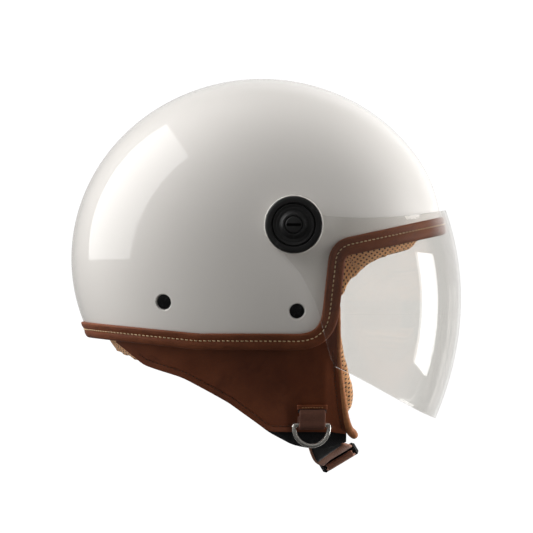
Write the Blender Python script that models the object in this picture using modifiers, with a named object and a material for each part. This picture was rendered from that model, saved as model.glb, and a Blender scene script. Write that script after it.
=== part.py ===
"""Open face motorcycle helmet with a short clear visor, leather edge trim, ear flaps and a chin strap.

Metres, +Z up. The front of the helmet faces -Y and the wearer's left is +X. The origin is the middle
of the crown pad's flat underside, where the top of the head rests.

Most pieces are described in side-view coordinates: f runs forward and h runs up from the middle of
the shell's ellipse. place(x, f, h) turns them into the model's frame.
"""

import math

import bmesh
import bpy
from mathutils import Matrix, Vector

# ---------------------------------------------------------------- driving dimensions
SHELL_HALF_WIDTH = 0.1120
SHELL_HALF_LENGTH = 0.1380
SHELL_HALF_HEIGHT = 0.1303
SHELL_TILT = math.radians(4.5)  # the ellipse leans nose up
SIDE_FLATNESS = 2.4  # above 2 the sides are flatter than an ellipsoid's
BROW_FLAT = 0.0033  # how much the shell falls short of the ellipse above the face opening
BROW_FLAT_FROM = 0.0600  # the height over which that comes in
CROWN_REST = 0.0900  # the head's crown, above the ellipse's middle

GAP = 0.0003  # between pieces that touch
SHELL_WALL = 0.0040
FOAM_WALL = 0.0240
COMFORT_WALL = 0.0070
FLAP_LEATHER = 0.0022
FLAP_LINING = 0.0012
WEBBING = 0.0016
WEBBING_WIDTH = 0.0250
VISOR_WALL = 0.0020

# How far under the shell's outer face each layer starts, with room for the meshes' flat facets
FOAM_DEPTH = SHELL_WALL + 0.0010
COMFORT_DEPTH = FOAM_DEPTH + FOAM_WALL + 0.0022
FLAP_DEPTH = 0.0075
LINING_DEPTH = FLAP_DEPTH + FLAP_LEATHER + 0.0014
STRAP_DEPTH = LINING_DEPTH + FLAP_LINING + 0.0006
CHEEK_DEPTH = STRAP_DEPTH + WEBBING + 0.0016
NAPE_DEPTH = FLAP_DEPTH + FLAP_LEATHER + 0.0012

RIM_COLUMNS = 28  # points along one half of the shell's rim, which the trim shares

# Where a mesh starts: its pole leans back, so that its lines cross the face opening's edge
POLE = Vector((0.0, -0.50, 0.866))

# ---------------------------------------------------------------- side-view outlines (f, h, radius)
FRONT = 0.150  # past the shell's nose, so that an outline runs off the surface
REAR = -0.150
SHELL_RIM = [
    (FRONT, 0.0224, 0),
    (0.0600, 0.0030, 0.009),
    (0.0523, -0.0653, 0.030),
    (-0.0450, -0.0648, 0.100),
    (REAR, -0.0535, 0),
]
FOAM_RIM = [
    (FRONT, 0.0335, 0),
    (0.0500, 0.0120, 0.012),
    (0.0460, -0.0240, 0.010),
    (-0.0840, -0.0240, 0.012),
    (-0.0960, -0.0480, 0.012),
    (REAR, -0.0440, 0),
]
HEADBAND_TOP = [(FRONT, 0.0560, 0), (REAR, 0.0300, 0)]
HEADBAND_RIM = [
    (FRONT, 0.0345, 0),
    (0.0500, 0.0140, 0.012),
    (0.0450, -0.0190, 0.010),
    (-0.0780, -0.0190, 0.012),
    (-0.0880, -0.0400, 0.012),
    (REAR, -0.0380, 0),
]
BROW_TOP = [(FRONT, 0.0262, 0), (0.0560, 0.0055, 0.010), (0.0525, -0.0300, 0)]
BROW_EDGE = [
    (FRONT, 0.0235, 0),
    (0.1165, 0.0120, 0.004),
    (0.1125, 0.0060, 0.006),
    (0.0930, 0.0006, 0.040),
    (0.0780, -0.0070, 0.030),
    (0.0650, -0.0190, 0.015),
    (0.0612, -0.0300, 0),
]
NAPE_TOP = [(-0.0880, -0.0540, 0), (-0.1000, -0.0520, 0.020), (REAR, -0.0480, 0)]
NAPE_EDGE = [
    (-0.0870, -0.0780, 0),
    (-0.0930, -0.0750, 0.030),
    (-0.1056, -0.0687, 0.060),
    (REAR, -0.0440, 0),
]
WALL_TOP = -0.0660  # below this height the flaps hang free of the shell

FLAP_TOP = [
    (0.0520, -0.0370, 0),
    (0.0500, -0.0600, 0.010),
    (-0.0450, -0.0605, 0.100),
    (-0.1020, -0.0545, 0),
]
FLAP_EDGE = [
    (0.0610, -0.1290, 0),
    (0.0500, -0.1271, 0.020),
    (0.0060, -0.1271, 0.015),
    (-0.0220, -0.1061, 0.060),
    (-0.0556, -0.0877, 0.060),
    (-0.0850, -0.0783, 0.020),
    (-0.1050, -0.0620, 0),
]
LINING_TOP = [
    (0.0520, -0.0370, 0),
    (0.0500, -0.0600, 0.010),
    (-0.0450, -0.0605, 0.100),
    (-0.0830, -0.0570, 0),
]
LINING_EDGE = [
    (0.0620, -0.1355, 0),
    (0.0430, -0.1415, 0.030),
    (0.0230, -0.1375, 0.030),
    (0.0050, -0.1285, 0.030),
    (-0.0220, -0.1078, 0.060),
    (-0.0556, -0.0892, 0.060),
    (-0.0810, -0.0808, 0),
]
PIPING_LINE = [
    (0.0573, -0.0370, 0),
    (0.0577, -0.0700, 0.100),
    (0.0608, -0.1024, 0.150),
    (0.0630, -0.1170, 0.030),
    (0.0652, -0.1250, 0.010),
    (0.0692, -0.1300, 0),
]
PIPING_RADIUS = 0.0019
CHEEK_PAD = [
    (0.0545, -0.0400, 0.014),
    (0.0700, -0.0930, 0.045),
    (0.0660, -0.1190, 0.014),
    (0.0120, -0.1150, 0.025),
    (0.0040, -0.0400, 0.020),
]
CHEEK_WALL = 0.0140

# ---------------------------------------------------------------- visor and its pivots
PIVOT = (0.0246, 0.0234)
VISOR_X = 0.1148  # inner face of the flat ear, from the middle plane
VISOR_FLAT_TO = 0.0480  # the wings are flat as far forward as this
VISOR_NOSE = 0.1452  # furthest forward point, at height VISOR_NOSE_H
VISOR_NOSE_H = -0.0300
VISOR_NOSE_RADIUS = (0.185, 0.205)  # above and below that height
VISOR_PLAN = 1.9
VISOR_NARROWS = 1.4  # how quickly the wings draw in below the ears, per metre
EAR_RADIUS = 0.0220
VISOR_TOP_LOW = (0.0770, 0.0285)
VISOR_TOP_BEND = 1.6
VISOR_LOWER = [
    (0.0183, 0.0011, 0),
    (0.0302, -0.0124, 0.030),
    (0.0410, -0.0344, 0.060),
    (0.0473, -0.0574, 0.060),
    (0.0528, -0.0785, 0.005),
    (0.0664, -0.0850, 0.020),
    (0.1157, -0.1123, 0.100),
    (FRONT, -0.1280, 0),
]

BOSS_RADIUS = 0.0212
BOSS_TOP = 0.1134
BUSH_RADIUS = 0.0070
COVER_RADIUS = 0.0209
NUT_RADIUS = 0.0085

# ---------------------------------------------------------------- strap rivets (f, h)
RIVETS = {"front": (0.0271, -0.0395), "rear": (-0.0700, -0.0329)}
RIVET_HEAD = 0.0053
RIVET_SHANK = 0.0027

# ---------------------------------------------------------------- chin strap and buckle
STRAP_TILT = math.radians(31)  # the webbing's front edge is higher than its back edge
BUCKLE_AT = (-0.0100, 0.0577, -0.1466)  # x, f, h
BUCKLE_LENGTH = 0.0480
BUCKLE_WIDTH = 0.0300
BUCKLE_DEPTH = 0.0090
BAR_RADIUS = 0.0018
PIN_RADIUS = 0.0012
TONGUE_WIDTH = 0.0200
TONGUE_THICK = 0.0022
TONGUE_TOOTH = 0.0025

# ---------------------------------------------------------------- D-ring on each flap
RING_AT = (0.0365, -0.1210)  # its bar: f, h
RING_HALF_WIDTH = 0.0130
RING_ARM = 0.0022
RING_WIRE = 0.0016
TAB_WIDTH = 0.0195
TAB_LEATHER = 0.0013

# ---------------------------------------------------------------- materials: colour, roughness, metallic
MATERIALS = {
    "shell_paint": ((0.78, 0.77, 0.75), 0.12, 0.0),
    "foam": ((0.10, 0.10, 0.11), 0.90, 0.0),
    "trim_leather": ((0.30, 0.13, 0.06), 0.50, 0.0),
    "flap_leather": ((0.18, 0.08, 0.04), 0.55, 0.0),
    "piping_leather": ((0.42, 0.21, 0.10), 0.50, 0.0),
    "mesh_fabric": ((0.55, 0.32, 0.17), 0.85, 0.0),
    "black_fabric": ((0.02, 0.02, 0.02), 0.90, 0.0),
    "webbing": ((0.26, 0.12, 0.08), 0.75, 0.0),
    "black_plastic": ((0.03, 0.03, 0.03), 0.40, 0.0),
    "visor_clear": ((0.85, 0.84, 0.82), 0.05, 0.0),
    "steel": ((0.70, 0.68, 0.64), 0.25, 1.0),
}


# ---------------------------------------------------------------- geometry helpers
def place(x, f, h):
    """Side-view coordinates to the model's frame."""
    return Vector((x, -f, h - CROWN_REST))


def lean(f, h):
    """Side-view coordinates along the tilted ellipse's own axes."""
    return (
        f * math.cos(SHELL_TILT) + h * math.sin(SHELL_TILT),
        h * math.cos(SHELL_TILT) - f * math.sin(SHELL_TILT),
    )


def reach(f, h, depth=0.0):
    """0 at the ellipse's middle and 1 on its outline, for the skin this far under the shell's face."""
    along, up = lean(f, h)
    half_length = SHELL_HALF_LENGTH - depth
    if along > 0:
        t = min(max(1 - up / BROW_FLAT_FROM, 0.0), 1.0)
        half_length -= BROW_FLAT * t * t * (3 - 2 * t)
    return math.hypot(along / half_length, up / (SHELL_HALF_HEIGHT - depth))


def level(point, depth=0.0):
    """Below 1 inside the skin at this depth, 1 on it and above 1 outside."""
    x, f, h = point
    side = abs(x) / (SHELL_HALF_WIDTH - depth)
    return (side**SIDE_FLATNESS + reach(f, h, depth) ** SIDE_FLATNESS) ** (1 / SIDE_FLATNESS)


def skin_x(f, h, depth=0.0):
    """Half the width of the skin at a side-view point."""
    inside = 1 - reach(f, h, depth) ** SIDE_FLATNESS
    return (SHELL_HALF_WIDTH - depth) * max(inside, 0.0) ** (1 / SIDE_FLATNESS)


def skin_along(direction, depth=0.0):
    """The skin's point in this direction from the ellipse's middle, as (x, f, h)."""
    point = Vector(direction)
    for _ in range(6):
        point = point / level(point, depth)
    return point


def skin_normal(point):
    """The outward normal of the shell's face near a point (x, f, h)."""
    x, f, h = point
    step = 1e-5
    slope = Vector(
        (
            level((x + step, f, h)) - level((x - step, f, h)),
            level((x, f + step, h)) - level((x, f - step, h)),
            level((x, f, h + step)) - level((x, f, h - step)),
        )
    )
    return slope.normalized()


def wall_x(f, h):
    """Half the width of the ear flaps' outer face: inside the shell, and hanging on below it."""
    draw_in = 0.25 + 0.65 * min(max((0.020 - f) / 0.110, 0.0), 1.0)
    below = max(WALL_TOP - h, 0.0)
    return skin_x(f, max(h, WALL_TOP), FLAP_DEPTH) - draw_in * below


def wall_normal(f, h):
    """The outward normal of the flaps' outer face, as (x, f, h), on the wearer's left."""
    step = 1e-4
    ahead = (wall_x(f + step, h) - wall_x(f - step, h)) / (2 * step)
    up = (wall_x(f, h + step) - wall_x(f, h - step)) / (2 * step)
    return Vector((1.0, -ahead, -up)).normalized()


def wall_point(side, f, h, depth):
    """A point (x, f, h) of a layer that lies this deep, behind the point (f, h) of the flaps' outer face."""
    point = Vector((wall_x(f, h), f, h)) - wall_normal(f, h) * (depth - FLAP_DEPTH)
    return Vector((side * point.x, point.y, point.z))


def rounded(corners, closed=False):
    """A polyline through side-view corners (f, h, radius), with an arc of that radius at each corner."""
    line = []
    count = len(corners)
    for i, (f, h, radius) in enumerate(corners):
        here = Vector((f, h))
        if radius == 0 or (not closed and i in (0, count - 1)):
            line.append(here)
            continue
        before = Vector(corners[i - 1][:2]) - here
        after = Vector(corners[(i + 1) % count][:2]) - here
        half = before.angle(after) / 2
        cut = min(radius / math.tan(half), 0.48 * before.length, 0.48 * after.length)
        start = here + before.normalized() * cut
        end = here + after.normalized() * cut
        for step in range(9):
            t = step / 8
            line.append(start * (1 - t) ** 2 + here * 2 * t * (1 - t) + end * t**2)
    return line


def resample(points, count, closed=False):
    """Points spaced evenly along a polyline."""
    points = [p.copy() for p in points]
    if closed:
        points.append(points[0].copy())
    lengths = [0.0]
    for a, b in zip(points, points[1:]):
        lengths.append(lengths[-1] + (b - a).length)
    wanted = [lengths[-1] * i / (count if closed else count - 1) for i in range(count)]
    found, k = [], 0
    for at in wanted:
        while k < len(points) - 2 and lengths[k + 1] < at:
            k += 1
        span = max(lengths[k + 1] - lengths[k], 1e-12)
        found.append(points[k].lerp(points[k + 1], min((at - lengths[k]) / span, 1.0)))
    return found


def on_skin(corners, depth, count):
    """An outline as points (x, f, h) on one half of the skin, spaced evenly, ending on the middle plane
    where it runs off the skin."""
    fine = resample(rounded(corners), 1200)
    line = []
    for a, b in zip(fine, fine[1:]):
        inside_a = reach(a.x, a.y, depth) < 1
        inside_b = reach(b.x, b.y, depth) < 1
        if inside_a:
            line.append(Vector((skin_x(a.x, a.y, depth), a.x, a.y)))
        if inside_a != inside_b:
            low, high = (a, b) if inside_a else (b, a)
            for _ in range(30):
                middle = low.lerp(high, 0.5)
                if reach(middle.x, middle.y, depth) < 1:
                    low = middle
                else:
                    high = middle
            line.append(Vector((0.0, low.x, low.y)))
    if reach(fine[-1].x, fine[-1].y, depth) < 1:
        line.append(Vector((skin_x(fine[-1].x, fine[-1].y, depth), fine[-1].x, fine[-1].y)))
    return resample(line, count)


def both_sides(half):
    """The outline over both sides: the right side from its end to the front, then the left side back."""
    mirrored = [Vector((-p.x, p.y, p.z)) for p in half]
    return mirrored[::-1] + half[1:]


def loop_round(half):
    """A closed outline over both sides, from the front by the left side to the back and round."""
    mirrored = [Vector((-p.x, p.y, p.z)) for p in half[1:-1]]
    return half + mirrored[::-1]


def skin_rows(first, last, rows, depth):
    """Rows of points on the skin between two outlines of as many points."""
    grid = []
    for r in range(rows + 1):
        t = r / rows
        row = []
        for a, b in zip(first, last):
            between = a.normalized().slerp(b.normalized(), t)
            row.append(skin_along(between, depth))
        grid.append(row)
    return grid


# ---------------------------------------------------------------- object helpers
def clear_scene():
    for obj in list(bpy.data.objects):
        bpy.data.objects.remove(obj, do_unlink=True)


def new_collection(name, hidden=False):
    collection = bpy.data.collections.new(name)
    bpy.context.scene.collection.children.link(collection)
    collection.hide_render = hidden
    return collection


def material(name):
    found = bpy.data.materials.get(name)
    if found:
        return found
    colour, roughness, metallic = MATERIALS[name]
    made = bpy.data.materials.new(name)
    made.use_nodes = True
    shader = made.node_tree.nodes["Principled BSDF"]
    shader.inputs["Base Color"].default_value = (*colour, 1.0)
    shader.inputs["Roughness"].default_value = roughness
    shader.inputs["Metallic"].default_value = metallic
    return made


def add_object(name, data, finish, collection=None):
    obj = bpy.data.objects.new(name, data)
    (collection or helmet).objects.link(obj)
    if finish:
        data.materials.append(material(finish))
    return obj


def add_mesh(name, points, faces, finish, collection=None):
    mesh = bpy.data.meshes.new(name)
    mesh.from_pydata([tuple(p) for p in points], [], faces)
    work = bmesh.new()
    work.from_mesh(mesh)
    bmesh.ops.recalc_face_normals(work, faces=work.faces)
    work.to_mesh(mesh)
    work.free()
    mesh.shade_smooth()
    return add_object(name, mesh, finish, collection)


def grid_sheet(name, grid, finish, closed=False):
    """An open sheet from rows of points (x, f, h). Its faces point away from the head."""
    width = len(grid[0])
    points = [place(*p) for row in grid for p in row]
    faces = []
    for r in range(len(grid) - 1):
        for c in range(width if closed else width - 1):
            d = (c + 1) % width
            faces.append((r * width + c, r * width + d, (r + 1) * width + d, (r + 1) * width + c))
    return face_outward(add_mesh(name, points, faces, finish))


def face_outward(obj):
    """Turns an open sheet's faces away from the middle of the head."""
    middle = place(0, 0, -0.02)
    mesh = obj.data
    outward = sum((p.center - middle).dot(p.normal) * p.area for p in mesh.polygons)
    if outward < 0:
        mesh.flip_normals()
    return obj


def solidify(obj, thickness):
    """Gives a sheet its wall, inwards."""
    wall = obj.modifiers.new("Wall", "SOLIDIFY")
    wall.thickness = thickness
    wall.offset = -1
    wall.use_even_offset = True
    return obj


def boolean(obj, other, operation):
    """Applies a cut or a join, and removes the other object."""
    change = obj.modifiers.new("Boolean", "BOOLEAN")
    change.operation = operation
    change.object = other
    change.solver = "EXACT"
    bpy.context.view_layer.update()
    graph = bpy.context.evaluated_depsgraph_get()
    mesh = bpy.data.meshes.new_from_object(obj.evaluated_get(graph))
    obj.modifiers.clear()
    obj.data = mesh
    bpy.data.objects.remove(other, do_unlink=True)
    return obj


def box(name, size, matrix, finish=None, bevel=0.0):
    mesh = bpy.data.meshes.new(name)
    work = bmesh.new()
    bmesh.ops.create_cube(work, size=1.0)
    bmesh.ops.scale(work, vec=size, verts=work.verts)
    if bevel:
        bmesh.ops.bevel(work, geom=work.edges[:], offset=bevel, segments=1, affect="EDGES")
    work.transform(matrix)
    work.to_mesh(mesh)
    work.free()
    return add_object(name, mesh, finish, None if finish else cutters)


def turned(name, profile, matrix, finish=None, steps=24):
    """A solid turned about its own z axis from a closed profile of (radius, height) points."""
    mesh = bpy.data.meshes.new(name)
    work = bmesh.new()
    rings = []
    for i in range(steps):
        angle = 2 * math.pi * i / steps
        ring = [
            work.verts.new((r * math.cos(angle), r * math.sin(angle), z)) if r > 0 or i == 0 else None
            for r, z in profile
        ]
        rings.append(ring)
    for i in range(steps):
        here, after = rings[i], rings[(i + 1) % steps]
        for k in range(len(profile)):
            m = (k + 1) % len(profile)
            corners = [
                here[k] or rings[0][k],
                after[k] or rings[0][k],
                after[m] or rings[0][m],
                here[m] or rings[0][m],
            ]
            unique = list(dict.fromkeys(corners))
            if len(unique) > 2:
                work.faces.new(unique)
    bmesh.ops.recalc_face_normals(work, faces=work.faces)
    work.transform(matrix)
    work.to_mesh(mesh)
    work.free()
    mesh.shade_smooth()
    mesh.set_sharp_from_angle(angle=math.radians(35))
    return add_object(name, mesh, finish, None if finish else cutters)


def tube(name, points, radius, finish, closed=False, radii=None, resolution=1):
    """A wire, cord or roll through points in the model's frame."""
    data = bpy.data.curves.new(name, "CURVE")
    data.dimensions = "3D"
    data.bevel_depth = radius
    data.bevel_resolution = resolution
    data.use_fill_caps = not closed
    spline = data.splines.new("POLY")
    spline.points.add(len(points) - 1)
    for i, p in enumerate(points):
        spline.points[i].co = (*p, 1.0)
        spline.points[i].radius = radii[i] if radii else 1.0
    spline.use_cyclic_u = closed
    return add_object(name, data, finish)


def strip(name, path, across, thickness, finish):
    """A flat strip: path is its middle line in the model's frame, and across its half-width vectors."""
    rows = [[c - w, c, c + w] for c, w in zip(path, across)]
    points = [p for row in rows for p in row]
    faces = []
    for r in range(len(rows) - 1):
        for c in range(2):
            faces.append((3 * r + c, 3 * r + c + 1, 3 * r + c + 4, 3 * r + c + 3))
    obj = add_mesh(name, points, faces, finish)
    wall = obj.modifiers.new("Wall", "SOLIDIFY")
    wall.thickness = thickness
    wall.offset = 0
    return obj


def smooth_line(points, count):
    """Evenly spaced points on a Catmull-Rom curve through the given points."""
    ends = [2 * points[0] - points[1], *points, 2 * points[-1] - points[-2]]
    fine = []
    for p0, p1, p2, p3 in zip(ends, ends[1:], ends[2:], ends[3:]):
        for step in range(16):
            t = step / 16
            fine.append(
                0.5
                * (
                    2 * p1
                    + (p2 - p0) * t
                    + (2 * p0 - 5 * p1 + 4 * p2 - p3) * t**2
                    + (3 * p1 - p0 - 3 * p2 + p3) * t**3
                )
            )
    fine.append(points[-1])
    return resample(fine, count)


def frame_at(origin, normal, up=Vector((0, 0, 1))):
    """A matrix with its z axis on the normal and its x axis as near as can be to up."""
    z = normal.normalized()
    y = z.cross(up).normalized()
    x = y.cross(z)
    turn = Matrix((x, y, z)).transposed()
    return Matrix.Translation(origin) @ turn.to_4x4()


# ---------------------------------------------------------------- shell, foam and comfort pads
def make_dome(name, corners, depth, wall, columns, rings, finish):
    """A cap over the head, from its pole down to an outline, with a wall inwards."""
    rim = loop_round(on_skin(corners, depth, columns))
    top = [POLE.normalized()] * len(rim)
    grid = skin_rows(top, rim, rings, depth)
    width = len(rim)
    points = [place(*grid[0][0])] + [place(*p) for row in grid[1:] for p in row]
    faces = [(0, 1 + c, 1 + (c + 1) % width) for c in range(width)]
    for r in range(rings - 1):
        for c in range(width):
            d = (c + 1) % width
            a, b = 1 + r * width, 1 + (r + 1) * width
            faces.append((a + c, b + c, b + d, a + d))
    return solidify(face_outward(add_mesh(name, points, faces, finish)), wall)


def pivot_matrix(side, x=0.0):
    """z axis out of the helmet's side along the visor's axis, origin at distance x from the middle."""
    origin = place(side * x, *PIVOT)
    return frame_at(origin, Vector((side, 0, 0)))


def rivet_frame(side, which):
    f, h = RIVETS[which]
    point = Vector((side * skin_x(f, h), f, h))
    n = skin_normal(point)
    return frame_at(place(*point), Vector((n.x, -n.y, n.z)))


def make_shell():
    shell = make_dome("shell", SHELL_RIM, 0.0, SHELL_WALL, RIM_COLUMNS, 10, "shell_paint")
    for side in (-1, 1):
        seat = pivot_matrix(side)
        shell = boolean(shell, make_boss(side), "UNION")
        bore = BUSH_RADIUS + GAP
        hole = turned("hole", [(0, 0.09), (bore, 0.09), (bore, 0.12), (0, 0.12)], seat)
        shell = boolean(shell, hole, "DIFFERENCE")
        for which in RIVETS:
            shank = RIVET_SHANK + GAP
            head = RIVET_HEAD + GAP
            cutter = turned(
                "rivet_hole",
                [(0, -0.012), (shank, -0.012), (shank, -0.0022), (head, -0.0022), (head, -0.0008)]
                + [(head + 0.0060, 0.0040), (0, 0.0040)],
                rivet_frame(side, which),
            )
            shell = boolean(shell, cutter, "DIFFERENCE")
    shell.data.name = "shell"
    return shell


def make_boss(side):
    """The raised disc that the visor's ear lies on. Its root follows the middle of the shell's wall."""
    steps, root_rings = 24, 3
    levels = [(BOSS_RADIUS * r / root_rings, None) for r in range(1, root_rings + 1)]
    levels += [(BOSS_RADIUS, BOSS_TOP - 0.0006), (BOSS_RADIUS - 0.0006, BOSS_TOP)]
    points, faces = [place(side * skin_x(*PIVOT, SHELL_WALL / 2), *PIVOT)], []
    for radius, face in levels:
        for c in range(steps):
            angle = 2 * math.pi * c / steps
            f, h = PIVOT[0] + radius * math.cos(angle), PIVOT[1] + radius * math.sin(angle)
            x = face or skin_x(f, h, SHELL_WALL / 2)
            points.append(place(side * x, f, h))
    for c in range(steps):
        d = (c + 1) % steps
        faces.append((0, 1 + c, 1 + d))
        for r in range(len(levels) - 1):
            a, b = 1 + r * steps, 1 + (r + 1) * steps
            faces.append((a + c, b + c, b + d, a + d))
    last = 1 + (len(levels) - 1) * steps
    faces.append(tuple(range(last, last + steps)))
    return add_mesh("boss", points, faces, None, cutters)


def make_foam():
    foam = make_dome("impact_foam", FOAM_RIM, FOAM_DEPTH, FOAM_WALL, 17, 6, "foam")
    for side in (-1, 1):
        floor = SHELL_HALF_WIDTH - 0.0190
        pocket = turned(
            "nut_pocket",
            [(0, floor), (NUT_RADIUS + 0.0040, floor), (NUT_RADIUS + 0.0040, 0.12), (0, 0.12)],
            pivot_matrix(side),
            steps=16,
        )
        foam = boolean(foam, pocket, "DIFFERENCE")
    return foam


def make_crown_pad():
    """A lens: its top follows the foam and its underside is the flat face that rests on the head."""
    radius, steps, rings = 0.0420, 24, 3
    points = [place(*skin_along(Vector((0, 0, 1)), COMFORT_DEPTH))]
    faces = []
    for r in range(1, rings + 1):
        for c in range(steps):
            angle = 2 * math.pi * c / steps
            x, f = (radius * r / rings * g for g in (math.cos(angle), math.sin(angle)))
            h = skin_along(Vector((x, f, SHELL_HALF_HEIGHT - COMFORT_DEPTH)), COMFORT_DEPTH).z
            points.append(place(x, f, h - 0.0008))
    flat = len(points)
    for c in range(steps):
        angle = 2 * math.pi * c / steps
        points.append(place(radius * math.cos(angle), radius * math.sin(angle), CROWN_REST))
    for c in range(steps):
        d = (c + 1) % steps
        faces.append((0, 1 + c, 1 + d))
        for r in range(rings - 1):
            a, b = 1 + r * steps, 1 + (r + 1) * steps
            faces.append((a + c, b + c, b + d, a + d))
        last = 1 + (rings - 1) * steps
        faces.append((last + c, flat + c, flat + d, last + d))
    faces.append(tuple(range(flat, flat + steps)))
    return add_mesh("crown_pad", points, faces, "mesh_fabric")


def make_headband():
    top = loop_round(on_skin(HEADBAND_TOP, COMFORT_DEPTH, 17))
    rim = loop_round(on_skin(HEADBAND_RIM, COMFORT_DEPTH, 17))
    sheet = grid_sheet("headband", skin_rows(top, rim, 3, COMFORT_DEPTH), "mesh_fabric", closed=True)
    return solidify(sheet, COMFORT_WALL)


def make_brow_pad():
    """The padded lip under the foam's front edge, from temple to temple."""
    depth = 0.0068
    top = both_sides(on_skin(BROW_TOP, depth, 21))
    edge = both_sides(on_skin(BROW_EDGE, depth, 21))
    return solidify(grid_sheet("brow_pad", skin_rows(top, edge, 2, depth), "mesh_fabric"), 0.0180)


def make_nape_pad():
    top = on_skin(NAPE_TOP, NAPE_DEPTH, 9)
    edge = on_skin(NAPE_EDGE, NAPE_DEPTH, 9)
    grid = skin_rows(both_sides(top[::-1]), both_sides(edge[::-1]), 2, NAPE_DEPTH)
    return solidify(grid_sheet("nape_pad", grid, "mesh_fabric"), 0.0110)


# ---------------------------------------------------------------- trim, flaps and cheek pads
def make_trim():
    """A leather U section folded over the shell's rim, stitched through."""
    rim = loop_round(on_skin(SHELL_RIM, 0.0, RIM_COLUMNS))
    outer, inner = GAP + 0.0001, -SHELL_WALL - 0.0012
    notch = 0.0017
    section = [
        (outer, -0.0102),
        (outer + 0.0017, -0.0102),
        (outer + 0.0017, 0.0012),
        (outer + 0.0006, 0.0024),
        (inner - 0.0010, 0.0024),
        (inner - 0.0010, -0.0060),
        (inner, -0.0060),
        (inner, notch),
        (outer, notch),
    ]
    count, width = len(rim), len(section)
    points, faces = [], []
    for i, here in enumerate(rim):
        ahead = (rim[(i + 1) % count] - rim[i - 1]).normalized()
        normal = skin_normal(here)
        away = ahead.cross(normal).normalized()
        if away.dot(here - POLE * 0.1) < 0:
            away.negate()
        for out, past in section:
            fall = past**2 / (2 * 0.110)
            points.append(place(*(here + normal * (out - fall) + away * past)))
    for i in range(count):
        j = (i + 1) % count
        for k in range(width):
            m = (k + 1) % width
            faces.append((i * width + k, i * width + m, j * width + m, j * width + k))
    return add_mesh("edge_trim", points, faces, "trim_leather")


def wall_grid(top, edge, columns, rows, depth, side):
    """A curtain between two side-view outlines."""
    first = resample(rounded(top), columns)
    last = resample(rounded(edge), columns)
    grid = []
    for r in range(rows + 1):
        row = []
        for a, b in zip(first, last):
            p = a.lerp(b, r / rows)
            row.append(wall_point(side, p.x, p.y, depth))
        grid.append(row)
    return grid


def make_flap(side, word):
    outer = wall_grid(FLAP_TOP, FLAP_EDGE, 16, 5, FLAP_DEPTH, side)
    leather = grid_sheet(f"ear_flap_{word}", outer, "flap_leather")
    solidify(leather, FLAP_LEATHER)
    inner = wall_grid(LINING_TOP, LINING_EDGE, 15, 5, LINING_DEPTH, side)
    lining = grid_sheet(f"flap_lining_{word}", inner, "black_fabric")
    solidify(lining, FLAP_LINING)
    line = resample(rounded(PIPING_LINE), 17)
    middle = FLAP_DEPTH + FLAP_LEATHER - 0.0004
    points = [place(*wall_point(side, p.x, p.y, middle)) for p in line]
    swell = [1.0] * 15 + [1.2, 1.1]
    tube(f"flap_piping_{word}", points, PIPING_RADIUS, "piping_leather", radii=swell)


def make_cheek_pad(side, word):
    outline = resample(rounded(CHEEK_PAD, closed=True), 24, closed=True)
    middle = sum(outline, Vector((0, 0))) / len(outline)
    rings, count = 3, len(outline)
    flat = [middle] + [middle.lerp(p, r / rings) for r in range(1, rings + 1) for p in outline]
    points = [place(*wall_point(side, p.x, p.y, CHEEK_DEPTH)) for p in flat]
    faces = [(0, 1 + c, 1 + (c + 1) % count) for c in range(count)]
    for r in range(rings - 1):
        a, b = 1 + r * count, 1 + (r + 1) * count
        for c in range(count):
            d = (c + 1) % count
            faces.append((a + c, b + c, b + d, a + d))
    pad = face_outward(add_mesh(f"cheek_pad_{word}", points, faces, "mesh_fabric"))
    return solidify(pad, CHEEK_WALL)


# ---------------------------------------------------------------- visor
def visor_width(h):
    """Half the visor's inner width at this height."""
    return VISOR_X - VISOR_NARROWS * min(h, 0.0) ** 2


def visor_nose(h):
    """How far forward the visor's middle is at this height."""
    radius = VISOR_NOSE_RADIUS[0] if h > VISOR_NOSE_H else VISOR_NOSE_RADIUS[1]
    return VISOR_NOSE - (h - VISOR_NOSE_H) ** 2 / (2 * radius)


def visor_point(turn, h):
    """turn 0 is at the nose and 1 where the flat wing starts. Above 1 it runs back along the wing."""
    if turn > 1:
        return Vector((visor_width(h), VISOR_FLAT_TO - (turn - 1) * 0.1, h))
    angle = turn * math.pi / 2
    x = visor_width(h) * math.sin(angle) ** (2 / VISOR_PLAN)
    ahead = (visor_nose(h) - VISOR_FLAT_TO) * math.cos(angle) ** (2 / VISOR_PLAN)
    return Vector((x, VISOR_FLAT_TO + ahead, h))


def visor_top(f):
    low_f, low_h = VISOR_TOP_LOW
    edge = low_h + VISOR_TOP_BEND * (f - low_f) ** 2
    across = EAR_RADIUS**2 - (f - PIVOT[0]) ** 2
    ear = PIVOT[1] + math.sqrt(max(across, 0.0))
    return max(ear, edge) if f > PIVOT[0] else ear


def visor_bottom(f, lower):
    across = EAR_RADIUS**2 - (f - PIVOT[0]) ** 2
    if f < lower[0].x:
        return PIVOT[1] - math.sqrt(max(across, 0.0))
    for a, b in zip(lower, lower[1:]):
        if a.x <= f <= b.x:
            return a.y + (b.y - a.y) * (f - a.x) / max(b.x - a.x, 1e-9)
    return lower[-1].y


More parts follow.
